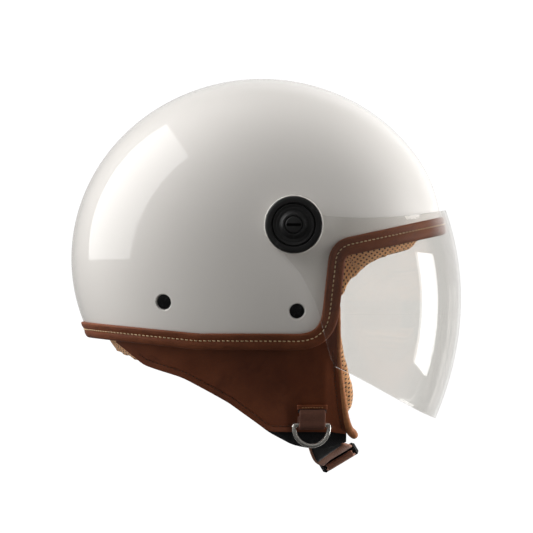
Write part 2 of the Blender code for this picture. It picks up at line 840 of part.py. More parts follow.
def make_visor():
    rows = 6
    lower = rounded(VISOR_LOWER)
    wing_end = 1 + (VISOR_FLAT_TO - PIVOT[0] + EAR_RADIUS - 0.0002) / 0.1
    turns = [i / 10 for i in range(11)]
    back = [1 + (wing_end - 1) * math.sin(math.pi / 2 * i / 7) for i in range(1, 8)]
    half = []
    for turn in turns + back:
        top = bottom = 0.0
        for _ in range(40):
            top = visor_top(visor_point(turn, top).y)
            bottom = 0.5 * (bottom + visor_bottom(visor_point(turn, bottom).y, lower))
        half.append([visor_point(turn, top + (bottom - top) * r / rows) for r in range(rows + 1)])
    mirrored = [[Vector((-p.x, p.y, p.z)) for p in column] for column in half[1:]]
    columns = mirrored[::-1] + half
    grid = [[column[r] for column in columns] for r in range(rows + 1)]
    visor = grid_sheet("visor", grid, "visor_clear")
    wall = visor.modifiers.new("Wall", "SOLIDIFY")
    wall.thickness = VISOR_WALL
    wall.offset = 1
    wall.use_even_offset = True
    for side in (-1, 1):
        bore = BUSH_RADIUS + GAP
        hole = turned("hole", [(0, 0.10), (bore, 0.10), (bore, 0.13), (0, 0.13)], pivot_matrix(side))
        visor = boolean(visor, hole, "DIFFERENCE")
    return visor


def make_pivot(side, word):
    """What the visor turns on: bush, friction washer, dished cover, coin-slot screw and nut."""
    seat = pivot_matrix(side)
    ear_out = VISOR_X + VISOR_WALL
    nut_face = SHELL_HALF_WIDTH - 0.0110
    bush_end = ear_out + 0.0008
    screw = 0.0030
    bore = screw + GAP
    thread = bore / math.cos(math.pi / 6)  # the nut's hole is a hexagon too
    turned(
        f"pivot_bush_{word}",
        [(bore, nut_face), (BUSH_RADIUS, nut_face), (BUSH_RADIUS, bush_end), (bore, bush_end)],
        seat,
        "black_plastic",
        16,
    )
    washer = (BOSS_TOP + GAP, VISOR_X - GAP)
    turned(
        f"friction_washer_{word}",
        [(BUSH_RADIUS + GAP, washer[0]), (0.0180, washer[0])]
        + [(0.0180, washer[1]), (BUSH_RADIUS + GAP, washer[1])],
        seat,
        "black_plastic",
        16,
    )
    foot = ear_out + GAP
    lip = COVER_RADIUS
    button = 0.0066
    turned(
        f"pivot_cover_{word}",
        [(BUSH_RADIUS + GAP, foot), (lip, foot), (lip, foot + 0.0022), (lip - 0.0012, foot + 0.0034)]
        + [(lip - 0.0042, foot + 0.0040), (lip - 0.0048, foot + 0.0026), (lip - 0.0056, foot + 0.0026)]
        + [(lip - 0.0062, foot + 0.0036), (0.0105, foot + 0.0042), (0.0090, foot + 0.0056)]
        + [(button, foot + 0.0058), (button, foot + 0.0014), (BUSH_RADIUS + GAP, foot + 0.0012)],
        seat,
        "black_plastic",
        24,
    )
    head = foot + 0.0016
    cap = turned(
        f"pivot_screw_{word}",
        [(0, nut_face - 0.0050), (screw, nut_face - 0.0050), (screw, head), (button - GAP, head)]
        + [(button - GAP, foot + 0.0050), (button - 0.0010, foot + 0.0058), (0, foot + 0.0060)],
        seat,
        "black_plastic",
        16,
    )
    slot = seat @ Matrix.Translation((0, 0, foot + 0.0060))
    boolean(cap, box("slot", (0.0018, 0.0200, 0.0030), slot), "DIFFERENCE")
    turned(
        f"pivot_nut_{word}",
        [(thread, nut_face - 0.0040), (NUT_RADIUS, nut_face - 0.0040)]
        + [(NUT_RADIUS, nut_face - GAP), (thread, nut_face - GAP)],
        seat,
        "steel",
        6,
    )


# ---------------------------------------------------------------- strap anchors
def make_anchor(side, word, which):
    """A countersunk rivet through the shell, and the steel hanger that it holds inside."""
    seat = rivet_frame(side, which)
    inner = -SHELL_WALL
    plate_top, plate_bottom = inner - 0.0016, inner - 0.0030
    tail = plate_bottom - GAP
    turned(
        f"strap_rivet_{which}_{word}",
        [(0, -0.0006), (RIVET_HEAD - 0.0006, -0.0006), (RIVET_HEAD, -0.0011), (RIVET_HEAD, -0.0019)]
        + [(RIVET_SHANK, -0.0019), (RIVET_SHANK, tail), (0.0042, tail), (0.0036, tail - 0.0010)]
        + [(0, tail - 0.0012)],
        seat,
        "black_plastic",
        14,
    )
    middle = (plate_top + plate_bottom) / 2
    plate = box(
        f"strap_hanger_{which}_{word}",
        (0.0130, 0.0150, plate_top - plate_bottom),
        seat @ Matrix.Translation((-0.0025, 0, middle)),
        "steel",
    )
    bore = RIVET_SHANK + GAP
    hole = turned("hole", [(0, -0.02), (bore, -0.02), (bore, 0), (0, 0)], seat, steps=16)
    boolean(plate, hole, "DIFFERENCE")


# ---------------------------------------------------------------- D-rings
def ring_matrix(side):
    """Origin in the middle of the ring's bar. x axis out of the flap, level; y axis forward along the bar."""
    f, h = RING_AT
    n = wall_normal(f, h)
    stand_off = TAB_LEATHER + RING_WIRE + 0.0016
    origin = place(*wall_point(side, f, h, FLAP_DEPTH - stand_off))
    out = Vector((side * n.x, -n.y, 0)).normalized()
    ahead = Vector((side * n.y, n.x, 0)).normalized()
    if ahead.y > 0:
        ahead.negate()
    turn = Matrix((out, ahead, Vector((0, 0, 1)))).transposed()
    return Matrix.Translation(origin) @ turn.to_4x4()


def make_d_ring(side, word):
    seat = ring_matrix(side)
    half = RING_HALF_WIDTH
    outline = [Vector((-half, 0)), Vector((half, 0)), Vector((half, -RING_ARM))]
    for step in range(1, 10):
        angle = math.pi * step / 10
        outline.append(Vector((half * math.cos(angle), -RING_ARM - half * math.sin(angle))))
    outline.append(Vector((-half, -RING_ARM)))
    points = [seat @ Vector((0, p.x, p.y)) for p in resample(outline, 22, closed=True)]
    tube(f"d_ring_{word}", points, RING_WIRE, "steel", closed=True)

    wrap = RING_WIRE + 0.0005 + TAB_LEATHER / 2
    near = -wrap + TAB_LEATHER + 0.0005
    loop = [(near + 0.0028, 0.0110), (0.6 * wrap + 0.0016, 0.0072), (wrap, 0.0030)]
    loop += [(wrap * math.cos(a), wrap * math.sin(a)) for a in (-math.pi * k / 6 for k in range(7))]
    loop += [(-wrap + 0.0004, 0.0030), (-wrap + 0.0012, 0.0060)]
    path = [seat @ Vector((out, 0, up)) for out, up in loop]
    across = [seat.to_3x3() @ Vector((0, TAB_WIDTH / 2, 0))] * len(path)
    strip(f"d_ring_tab_{word}", path, across, TAB_LEATHER, "flap_leather")


# ---------------------------------------------------------------- chin strap
def tilted(angle):
    """The webbing's width direction, in the model's frame."""
    return Vector((0, -math.cos(angle), math.sin(angle)))


def buckle_matrix():
    """x axis across the chin to the wearer's left, y axis along the webbing's width, z axis out (down)."""
    along = Vector((1, 0, 0))
    width = tilted(STRAP_TILT)
    out = along.cross(width)
    if out.z > 0:
        width.negate()
        out.negate()
    turn = Matrix((along, width, out)).transposed()
    return Matrix.Translation(place(*BUCKLE_AT)) @ turn.to_4x4()


def lying_strip(side, line, half_width, depths):
    """A strip's middle line and half-width vectors, lying on the wall along a side-view line."""
    path, across = [], []
    for i, (p, depth) in enumerate(zip(line, depths)):
        ahead = (line[min(i + 1, len(line) - 1)] - line[max(i - 1, 0)]).normalized()
        square = Vector((-ahead.y, ahead.x)) * half_width
        a = wall_point(side, p.x + square.x, p.y + square.y, depth)
        b = wall_point(side, p.x - square.x, p.y - square.y, depth)
        path.append(place(*((a + b) / 2)))
        across.append((place(*a) - place(*b)) / 2)
    return path, across


def strap_strip(side, last):
    """The front webbing, from its hanger down behind the lining and in under the chin."""
    corners = ((0.0290, -0.0440), (0.0315, -0.0560), (0.0345, -0.0760), (0.0400, -0.1000), (0.0455, -0.1190))
    line = smooth_line([Vector(c) for c in corners], 11)
    depths = [STRAP_DEPTH + WEBBING / 2 - 0.0026 * max(1 - i / 2, 0.0) for i in range(11)]
    path, across = lying_strip(side, line, WEBBING_WIDTH / 2, depths)
    end = buckle_matrix() @ last
    turn_in = place(*wall_point(side, 0.0485, -0.1320, STRAP_DEPTH + 0.0034))
    under = turn_in.lerp(end, 0.42) + Vector((0, 0, -0.0062))
    near = end + Vector((side * 0.0080, 0, 0.0002))
    free = smooth_line([path[-2], path[-1], turn_in, under, near, end], 16)[4:]
    square = tilted(STRAP_TILT) * WEBBING_WIDTH / 2
    hang = across[-1] if across[-1].dot(square) > 0 else -across[-1]
    across = [a if a.dot(square) > 0 else -a for a in across]
    for i in range(len(free)):
        t = min(i / 9, 1.0) ** 1.5
        ahead = (free[min(i + 1, len(free) - 1)] - free[max(i - 1, 0)]).normalized()
        width = hang.lerp(square, t)
        width = width - ahead * width.dot(ahead)
        across.append(width.normalized() * WEBBING_WIDTH / 2)
    return path + free, across


def make_front_straps():
    wrap = BAR_RADIUS + 0.0005 + WEBBING / 2
    frame = buckle_matrix()
    bar = -BUCKLE_LENGTH / 2 + 0.0042
    square = tilted(STRAP_TILT) * WEBBING_WIDTH / 2
    path, across = strap_strip(-1, Vector((bar - 0.0050, 0, -wrap)))
    for k in range(7):
        angle = -math.pi / 2 + math.pi * k / 6
        path.append(frame @ Vector((bar + wrap * math.cos(angle), 0, wrap * math.sin(angle))))
    path += [frame @ Vector((bar - 0.0050, 0, wrap)), frame @ Vector((bar - 0.0110, 0, wrap + 0.0008))]
    across += [square] * 9
    strip("chin_strap_right", path, across, WEBBING, "webbing")
    path, across = strap_strip(1, Vector((tongue_end() + 0.0014, 0, TONGUE_LEVEL)))
    strip("chin_strap_left", path, across, WEBBING, "webbing")


def make_rear_strap(side, word):
    """The Y strap's rear leg, from the rear hanger forward to the front webbing."""
    corners = ((-0.0640, -0.0390), (-0.0400, -0.0560), (-0.0100, -0.0730), (0.0160, -0.0860))
    line = smooth_line([Vector(c) for c in corners], 9)
    depths = [STRAP_DEPTH + WEBBING / 2 - 0.0022 * max(1 - i, 0.0) for i in range(9)]
    path, across = lying_strip(side, line, 0.0090, depths)
    strip(f"rear_strap_{word}", path, across, WEBBING, "webbing")


# ---------------------------------------------------------------- ratchet buckle, in the buckle's own frame
TONGUE_LEVEL = -0.0014
LEVER_PIN = (0.0150, 0.0026)  # along the buckle, and out


def tongue_end():
    return BUCKLE_LENGTH / 2 + 0.0200


def make_buckle():
    frame = buckle_matrix()

    def at(x, y, z):
        return frame @ Matrix.Translation((x, y, z))

    half = BUCKLE_LENGTH / 2
    size = (BUCKLE_LENGTH, BUCKLE_WIDTH, BUCKLE_DEPTH)
    housing = box("buckle_housing", size, at(0, 0, 0), "black_plastic", bevel=0.0016)
    window = WEBBING_WIDTH + 0.0010
    opening = 0.0120
    cut = box("window", (opening, window, 0.03), at(-half + opening / 2 - 0.0005, 0, 0))
    boolean(housing, cut, "DIFFERENCE")
    channel = (0.0420, TONGUE_WIDTH + 0.0010, TONGUE_THICK + 0.0010)
    boolean(housing, box("channel", channel, at(half - 0.0180, 0, TONGUE_LEVEL)), "DIFFERENCE")
    pocket = box("pocket", (0.0360, 0.0212, 0.0080), at(half - 0.0150, 0, 0.0002 + 0.0040))
    boolean(housing, pocket, "DIFFERENCE")
    sideways = at(-half + 0.0042, 0, 0) @ Matrix.Rotation(math.pi / 2, 4, "X")
    reach_y = BUCKLE_WIDTH / 2 - 0.0008
    bar_shape = [(0, -reach_y), (BAR_RADIUS, -reach_y), (BAR_RADIUS, reach_y), (0, reach_y)]
    bar = turned("bar", bar_shape, sideways, steps=12)
    boolean(housing, bar, "UNION")
    pin_seat = at(LEVER_PIN[0], 0, LEVER_PIN[1]) @ Matrix.Rotation(math.pi / 2, 4, "X")
    bore = PIN_RADIUS + GAP
    pin_hole = turned("hole", [(0, -0.02), (bore, -0.02), (bore, 0.02), (0, 0.02)], pin_seat, steps=12)
    boolean(housing, pin_hole, "DIFFERENCE")

    pin_half = BUCKLE_WIDTH / 2 - 0.0004
    turned(
        "lever_pin",
        [(0, -pin_half), (PIN_RADIUS, -pin_half), (PIN_RADIUS, pin_half), (0, pin_half)],
        pin_seat,
        "steel",
        12,
    )

    lever_out = 0.0034
    lever_length = 0.0225
    lever = box(
        "buckle_lever",
        (lever_length, 0.0200, 0.0020),
        at(LEVER_PIN[0] - lever_length / 2, 0, lever_out),
        "black_plastic",
        bevel=0.0006,
    )
    knuckle = 0.0022
    heel = turned(
        "heel", [(0, -0.0098), (knuckle, -0.0098), (knuckle, 0.0098), (0, 0.0098)], pin_seat, steps=14
    )
    boolean(lever, heel, "UNION")
    pawl = box("pawl", (0.0022, 0.0160, 0.0030), at(LEVER_PIN[0] - 0.0052, 0, 0.0018))
    boolean(lever, pawl, "UNION")
    spring_gap = box("spring_gap", (0.0075, 0.0060, 0.0100), at(LEVER_PIN[0] + 0.0005, 0, LEVER_PIN[1]))
    boolean(lever, spring_gap, "DIFFERENCE")
    lever_bore = turned("hole", [(0, -0.02), (bore, -0.02), (bore, 0.02), (0, 0.02)], pin_seat, steps=12)
    boolean(lever, lever_bore, "DIFFERENCE")

    wire, coil, turns, width = 0.00022, 0.00190, 3, 0.0040
    points = []
    for i in range(turns * 8 + 1):
        angle = 2 * math.pi * i / 8
        along_pin = width * (i / (turns * 8) - 0.5)
        points.append(pin_seat @ Vector((coil * math.cos(angle), coil * math.sin(angle), along_pin)))
    tube("lever_spring", points, wire, "steel", resolution=0)

    inner_end = half - 0.0300
    length = tongue_end() - inner_end
    tongue = box(
        "ratchet_tongue",
        (length, TONGUE_WIDTH, TONGUE_THICK),
        at(inner_end + length / 2, 0, TONGUE_LEVEL),
        "black_plastic",
        bevel=0.0004,
    )
    teeth = 8
    for k in range(teeth):
        nick = at(inner_end + 0.0030 + k * TONGUE_TOOTH, 0, TONGUE_LEVEL + TONGUE_THICK / 2)
        notch = box("notch", (0.0011, 0.0150, 0.0010), nick @ Matrix.Rotation(math.radians(20), 4, "Y"))
        boolean(tongue, notch, "DIFFERENCE")


# ---------------------------------------------------------------- origins on the joints
def hang_on(name, point):
    """Puts an object's origin on its joint's axis, and leaves its shape where it is."""
    obj = bpy.data.objects[name]
    obj.data.transform(Matrix.Translation(-point))
    obj.location = point


def set_origins():
    hang_on("visor", place(0, *PIVOT))
    for side, word in ((-1, "right"), (1, "left")):
        hang_on(f"pivot_screw_{word}", place(side * VISOR_X, *PIVOT))
        hang_on(f"d_ring_{word}", ring_matrix(side).translation)
    hang_on("buckle_lever", buckle_matrix() @ Vector((LEVER_PIN[0], 0, LEVER_PIN[1])))
    hang_on("ratchet_tongue", buckle_matrix() @ Vector((BUCKLE_LENGTH / 2, 0, TONGUE_LEVEL)))


# ---------------------------------------------------------------- build
clear_scene()
helmet = new_collection("open_face_helmet")
cutters = new_collection("cutters")

make_shell()
make_foam()
make_crown_pad()
make_headband()
make_brow_pad()
make_nape_pad()
make_trim()
make_visor()
make_front_straps()
make_buckle()
for side_sign, side_word in ((-1, "right"), (1, "left")):
    make_flap(side_sign, side_word)
    make_cheek_pad(side_sign, side_word)
    make_pivot(side_sign, side_word)
    make_d_ring(side_sign, side_word)
    make_rear_strap(side_sign, side_word)
    for anchor in RIVETS:
        make_anchor(side_sign, side_word, anchor)
set_origins()
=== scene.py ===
"""Looks of the open face helmet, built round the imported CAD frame.

Metres, +Z up. The front of the helmet faces -Y and the wearer's left is +X. As in the CAD source, most
shapes are worked out in side-view coordinates (x, f, h): f runs forward and h up from the middle of the
shell's ellipse. place() turns them into the frame.
"""

import math

import bmesh
import bpy
import numpy as np
from mathutils import Matrix, Vector


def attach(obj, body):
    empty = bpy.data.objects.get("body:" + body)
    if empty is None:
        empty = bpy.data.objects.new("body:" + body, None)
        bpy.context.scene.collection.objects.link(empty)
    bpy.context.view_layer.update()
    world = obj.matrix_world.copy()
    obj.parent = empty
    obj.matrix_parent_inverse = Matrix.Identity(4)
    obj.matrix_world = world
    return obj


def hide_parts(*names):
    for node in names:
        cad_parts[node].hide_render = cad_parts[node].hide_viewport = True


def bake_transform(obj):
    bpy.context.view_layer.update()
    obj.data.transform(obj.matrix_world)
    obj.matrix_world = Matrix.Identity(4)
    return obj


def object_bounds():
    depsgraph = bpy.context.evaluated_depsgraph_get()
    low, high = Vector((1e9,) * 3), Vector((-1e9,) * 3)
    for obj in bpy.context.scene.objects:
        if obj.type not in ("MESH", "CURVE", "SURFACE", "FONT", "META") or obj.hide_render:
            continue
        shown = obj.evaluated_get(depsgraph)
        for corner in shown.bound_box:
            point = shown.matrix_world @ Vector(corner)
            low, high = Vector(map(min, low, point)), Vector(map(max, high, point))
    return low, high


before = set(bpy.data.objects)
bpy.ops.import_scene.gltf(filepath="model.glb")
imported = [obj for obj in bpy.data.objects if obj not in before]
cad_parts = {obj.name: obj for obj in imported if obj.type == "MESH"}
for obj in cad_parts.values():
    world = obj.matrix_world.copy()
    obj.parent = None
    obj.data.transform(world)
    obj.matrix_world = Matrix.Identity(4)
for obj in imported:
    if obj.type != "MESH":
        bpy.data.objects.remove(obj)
cad_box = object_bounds()
rng = np.random.default_rng(11)

# ---------------------------------------------------------------- the CAD's own dimensions
HALF_WIDTH, HALF_LENGTH, HALF_HEIGHT = 0.1120, 0.1380, 0.1303
TILT = math.radians(4.5)
FLATNESS = 2.4
BROW_FLAT, BROW_FLAT_FROM = 0.0033, 0.0600
CROWN_REST = 0.0900
SHELL_WALL = 0.0040
FOAM_DEPTH, FOAM_WALL = 0.0050, 0.0240
FLAP_LEATHER, FLAP_LINING = 0.0022, 0.0012
FLAP_DEPTH, HEM_SEAM = 0.0075, 0.0042
LINING_DEPTH = FLAP_DEPTH + FLAP_LEATHER + 0.0014
WEBBING, WEBBING_WIDTH = 0.0016, 0.0250
STRAP_DEPTH = LINING_DEPTH + FLAP_LINING + 0.0006
CHEEK_DEPTH = STRAP_DEPTH + WEBBING + 0.0016
WALL_TOP, DRAW_IN, DRAW_IN_MORE, DRAW_FROM, DRAW_OVER = -0.0660, 0.25, 0.65, 0.020, 0.110
POLE = np.array((0.0, -0.50, 0.866))
FRONT, REAR = 0.150, -0.150
SHELL_RIM = [
    (FRONT, 0.0224, 0), (0.0600, 0.0030, 0.009), (0.0523, -0.0653, 0.030), (-0.0450, -0.0648, 0.100),
    (REAR, -0.0535, 0),
]
FOAM_RIM = [
    (FRONT, 0.0335, 0), (0.0500, 0.0120, 0.012), (0.0460, -0.0240, 0.010), (-0.0840, -0.0240, 0.012),
    (-0.0960, -0.0480, 0.012), (REAR, -0.0440, 0),
]
FLAP_TOP = [(0.0520, -0.0370, 0), (0.0500, -0.0600, 0.010), (-0.0450, -0.0605, 0.100), (-0.1020, -0.0545, 0)]
FLAP_EDGE = [
    (0.0610, -0.1290, 0), (0.0500, -0.1271, 0.020), (0.0060, -0.1271, 0.015), (-0.0220, -0.1061, 0.060),
    (-0.0556, -0.0877, 0.060), (-0.0850, -0.0783, 0.020), (-0.1050, -0.0620, 0),
]
LINING_TOP = [*FLAP_TOP[:3], (-0.0830, -0.0570, 0)]
LINING_EDGE = [
    (0.0620, -0.1355, 0), (0.0430, -0.1415, 0.030), (0.0230, -0.1375, 0.030), (0.0050, -0.1285, 0.030),
    (-0.0220, -0.1078, 0.060), (-0.0556, -0.0892, 0.060), (-0.0810, -0.0808, 0),
]
PIPING_RADIUS = 0.0019
ROLL_LINE = [
    (0.0573, -0.0370), (0.0577, -0.0604), (0.0578, -0.0709), (0.0591, -0.0870), (0.0608, -0.1024),
    (0.0626, -0.1157), (0.0643, -0.1225), (0.0664, -0.1272), (0.0690, -0.1297),
]
ROLL_AT = (0.040, 0.060, 0.087, 0.102, 0.116, 0.123, 0.130)
ROLL_RADII = (0.0019, 0.0019, 0.0022, 0.0025, 0.0027, 0.0029, 0.0030)
PIVOT = (0.0246, 0.0234)
VISOR_X, VISOR_WALL, VISOR_FLAT_TO = 0.1148, 0.0020, 0.0480
VISOR_NOSE, VISOR_NOSE_H, VISOR_NOSE_RADIUS = 0.1452, -0.0300, (0.185, 0.205)
VISOR_PLAN, VISOR_NARROWS = 1.9, 1.4
WING_STEP = 0.1  # how far back along the visor's flat wing one unit of turn goes
EAR_RADIUS = 0.0220
VISOR_TOP_LOW, VISOR_TOP_BEND = (0.0770, 0.0285), 1.6
VISOR_LOWER = [
    (0.0183, 0.0011, 0), (0.0302, -0.0124, 0.030), (0.0410, -0.0344, 0.060), (0.0473, -0.0574, 0.060),
    (0.0528, -0.0785, 0.005), (0.0664, -0.0850, 0.020), (0.1157, -0.1123, 0.100), (FRONT, -0.1280, 0),
]
BOSS_TOP = 0.1134
BUSH_RADIUS, COVER_RADIUS = 0.0070, 0.0209
RIVETS = {"front": (0.0271, -0.0395), "rear": (-0.0700, -0.0329)}
RIVET_HEAD = 0.0053
STRAP_TILT = math.radians(31)
BUCKLE_AT = (-0.0100, 0.0577, -0.1466)
BUCKLE_LENGTH, BAR_RADIUS = 0.0480, 0.0018
TONGUE_LEVEL = -0.0014
RING_AT, RING_HALF_WIDTH, RING_ARM, RING_WIRE = (0.0365, -0.1210), 0.0130, 0.0022, 0.0016
TAB_WIDTH, TAB_LEATHER = 0.0195, 0.0013
SIDES = ((-1, "right"), (1, "left"))
HEAD_MIDDLE = Vector((0.0, 0.0, -0.11))


# ---------------------------------------------------------------- the skin and the flaps' wall
def place(points):
    """Side-view coordinates (x, f, h) to the frame."""
    p = np.asarray(points, float)
    return np.stack([p[..., 0], -p[..., 1], p[..., 2] - CROWN_REST], -1)


def smoothstep(t):
    t = np.clip(t, 0, 1)
    return t * t * (3 - 2 * t)


def reach(f, h, depth=0.0):
    """0 at the ellipse's middle and 1 on its outline, for the skin this far under the shell's face."""
    along = f * math.cos(TILT) + h * math.sin(TILT)
    up = h * math.cos(TILT) - f * math.sin(TILT)
    half = HALF_LENGTH - depth - np.where(along > 0, BROW_FLAT * smoothstep(1 - up / BROW_FLAT_FROM), 0)
    return np.hypot(along / half, up / (HALF_HEIGHT - depth))


def level(points, depth=0.0):
    """Below 1 inside the skin at this depth, 1 on it and above 1 outside."""
    side = np.abs(points[..., 0]) / (HALF_WIDTH - depth)
    return (side**FLATNESS + reach(points[..., 1], points[..., 2], depth) ** FLATNESS) ** (1 / FLATNESS)


def skin_x(f, h, depth=0.0):
    inside = np.maximum(1 - reach(f, h, depth) ** FLATNESS, 0)
    return (HALF_WIDTH - depth) * inside ** (1 / FLATNESS)


def skin_along(directions, depth=0.0):
    points = np.array(directions, float)
    for _ in range(6):
        points = points / level(points, depth)[..., None]
    return points


def unit(v):
    return v / np.maximum(np.linalg.norm(v, axis=-1, keepdims=True), 1e-12)


def skin_normal(points):
    """Outward normals of the shell's face near these points (x, f, h)."""
    step = 1e-5
    slopes = [level(points + step * axis) - level(points - step * axis) for axis in np.eye(3)]
    return unit(np.stack(slopes, -1))


def wall_x(f, h):
    """Half the width of the ear flaps' outer face: inside the shell, and drawn in as it hangs on below it."""
    draw_in = DRAW_IN + DRAW_IN_MORE * np.clip((DRAW_FROM - f) / DRAW_OVER, 0, 1)
    return skin_x(f, np.maximum(h, WALL_TOP), FLAP_DEPTH) - draw_in * np.maximum(WALL_TOP - h, 0)


def wall_normal(f, h):
    step = 1e-4
    ahead = (wall_x(f + step, h) - wall_x(f - step, h)) / (2 * step)
    up = (wall_x(f, h + step) - wall_x(f, h - step)) / (2 * step)
    return unit(np.stack([np.ones_like(ahead), -ahead, -up], -1))


def wall_point(side, f, h, depth):
    """Points (x, f, h) of a layer this deep, behind the points (f, h) of the flaps' outer face."""
    f, h = np.asarray(f, float), np.asarray(h, float)
    behind = np.asarray(depth)[..., None] - FLAP_DEPTH
    return (np.stack([wall_x(f, h), f, h], -1) - wall_normal(f, h) * behind) * (side, 1, 1)


def rounded(corners, closed=False, steps=12):
    """A polyline through corners (f, h, radius), with an arc of that radius at each corner."""
    line, count = [], len(corners)
    for i, (f, h, radius) in enumerate(corners):
        here = np.array((f, h))
        if radius == 0 or (not closed and i in (0, count - 1)):
            line.append(here)
            continue
        before = np.array(corners[i - 1][:2]) - here
        after = np.array(corners[(i + 1) % count][:2]) - here
        sizes = np.linalg.norm(before), np.linalg.norm(after)
        half = math.acos(float(before @ after / (sizes[0] * sizes[1]))) / 2
        cut = min(radius / math.tan(half), 0.48 * sizes[0], 0.48 * sizes[1])
        start, end = here + before / sizes[0] * cut, here + after / sizes[1] * cut
        for t in np.linspace(0, 1, steps + 1):
            line.append(start * (1 - t) ** 2 + here * 2 * t * (1 - t) + end * t**2)
    return np.array(line)


def lengths_along(line, closed):
    line = np.vstack([line, line[:1]]) if closed else line
    return np.concatenate([[0], np.cumsum(np.linalg.norm(np.diff(line, axis=0), axis=1))])


def resample(points, count, closed=False, at=None):
    """Points spaced evenly along a polyline, or at the given shares of its length."""
    points = np.asarray(points, float)
    lengths = lengths_along(points, closed)
    if closed:
        points = np.vstack([points, points[:1]])
    if at is None:
        at = np.arange(count) / (count if closed else count - 1)
    wanted = np.asarray(at) * lengths[-1]
    return np.stack([np.interp(wanted, lengths, points[:, k]) for k in range(points.shape[1])], -1)


def smooth_line(points, count):
    """Evenly spaced points on a Catmull-Rom curve through the given points."""
    points = np.asarray(points, float)
    ends = np.vstack([2 * points[:1] - points[1:2], points, 2 * points[-1:] - points[-2:-1]])
    fine = []
    for p0, p1, p2, p3 in zip(ends, ends[1:], ends[2:], ends[3:]):
        for t in np.arange(24) / 24:
            bend = 2 * p0 - 5 * p1 + 4 * p2 - p3
            fine.append(0.5 * (2 * p1 + (p2 - p0) * t + bend * t**2 + (3 * p1 - p0 - 3 * p2 + p3) * t**3))
    return resample(fine + [points[-1]], count)


def on_skin(corners, depth, count):
    """An outline's points (x, f, h) on one half of the skin, ending on the middle plane where it runs off."""
    fine = resample(rounded(corners), 4000)
    inside = reach(fine[:, 0], fine[:, 1], depth) < 1
    kept = fine[inside]
    line = np.column_stack([skin_x(kept[:, 0], kept[:, 1], depth), kept])
    for end in (0, -1):
        if not inside[end]:
            line[end, 0] = 0
    return resample(line, count)


def loop_round(half):
    """A closed outline over both sides, from the front by the left side to the back and round."""
    return np.vstack([half, (half[1:-1] * (-1, 1, 1))[::-1]])


def slerp(a, b, t):
    angle = np.arccos(np.clip(np.sum(a * b, -1, keepdims=True), -1, 1))
    return (np.sin((1 - t) * angle) * a + np.sin(t * angle) * b) / np.sin(angle)


# ---------------------------------------------------------------- mesh helpers
def new_object(name, data):
    obj = bpy.data.objects.new(name, data)
    bpy.context.scene.collection.objects.link(obj)
    return obj


def mesh_from(work, name):
    """Ends a bmesh as a mesh."""
    mesh = bpy.data.meshes.new(name)
    work.to_mesh(mesh)
    work.free()
    return mesh


def make_object(name, points, faces, uv):
    """A smooth mesh object. uv holds, for each face, one (u, v) in metres for each corner."""
    mesh = bpy.data.meshes.new(name)
    mesh.from_pydata(np.asarray(points).reshape(-1, 3).tolist(), [], faces)
    layer = mesh.uv_layers.new(name="metres")
    layer.data.foreach_set("uv", np.asarray([c for face in uv for c in face], np.float32).ravel())
    work = bmesh.new()
    work.from_mesh(mesh)
    bmesh.ops.remove_doubles(work, verts=work.verts, dist=1e-6)
    bmesh.ops.recalc_face_normals(work, faces=work.faces)
    work.to_mesh(mesh)
    work.free()
    mesh.shade_smooth()
    return new_object(name, mesh)


def grid_parts(grid, wrap=(False, False), caps=False):
    """Faces and corner (u, v) of a grid of points. u follows the columns and v the rows, in metres."""
    rows, cols = grid.shape[:2]
    u = lengths_along(grid[rows // 2], wrap[1])
    v = lengths_along(grid[:, cols // 2], wrap[0])
    faces, uv = [], []
    for r in range(rows if wrap[0] else rows - 1):
        for c in range(cols if wrap[1] else cols - 1):
            a, b = r * cols, (r + 1) % rows * cols
            d = (c + 1) % cols
            faces.append((a + c, a + d, b + d, b + c))
            uv.append(((u[c], v[r]), (u[c + 1], v[r]), (u[c + 1], v[r + 1]), (u[c], v[r + 1])))
    if caps:
        for start, at in ((0, 0), ((rows - 1) * cols, rows - 1)):
            faces.append(tuple(range(start, start + cols)))
            uv.append(tuple((u[c], v[at]) for c in range(cols)))
    return faces, uv


def grid_object(name, grid, wrap=(False, False), caps=False):
    grid = np.asarray(grid, float)
    faces, uv = grid_parts(grid, wrap, caps)
    return make_object(name, grid, faces, uv)


def applied(obj):
    """Makes the object's modifiers final."""
    bpy.context.view_layer.update()
    graph = bpy.context.evaluated_depsgraph_get()
    mesh = bpy.data.meshes.new_from_object(obj.evaluated_get(graph))
    obj.modifiers.clear()
    obj.data = mesh
    mesh.shade_smooth()
    return obj


def thicken(obj, thickness, edge=0.0):
    """A wall for a sheet, with its edge rounded by this much."""
    wall = obj.modifiers.new("Wall", "SOLIDIFY")
    wall.thickness, wall.offset, wall.use_even_offset = thickness, -1.0, True
    if edge:
        bevel = obj.modifiers.new("Edge", "BEVEL")
        bevel.width, bevel.segments = edge, 3
        bevel.limit_method, bevel.angle_limit = "ANGLE", math.radians(50)
    return applied(obj)


def face_away(obj):
    """Turns an open sheet's faces away from the middle of the head."""
    faces = obj.data.polygons
    if sum((face.center - HEAD_MIDDLE).dot(face.normal) * face.area for face in faces) < 0:
        obj.data.flip_normals()
    return obj


def circle(sides):
    angle = np.arange(sides) / sides * 2 * math.pi
    return np.stack([np.cos(angle), np.sin(angle)], -1)


def turned(name, profile, matrix, steps=96, closed=True):
    """A solid turned about its z axis from a profile of (radius, height) points."""
    profile = np.asarray(profile, float)
    grid = np.empty((len(profile), steps, 3))
    grid[..., :2] = profile[:, None, :1] * circle(steps)
    grid[..., 2] = profile[:, 1:]
    obj = grid_object(name, grid, (closed, True))
    obj.data.transform(matrix)
    return obj


def rounded_profile(corners, radius=0.0004, closed=True):
    """A turned profile with each of its corners softened."""
    return rounded([(r, z, 0 if r == 0 else radius) for r, z in corners], closed, steps=4)


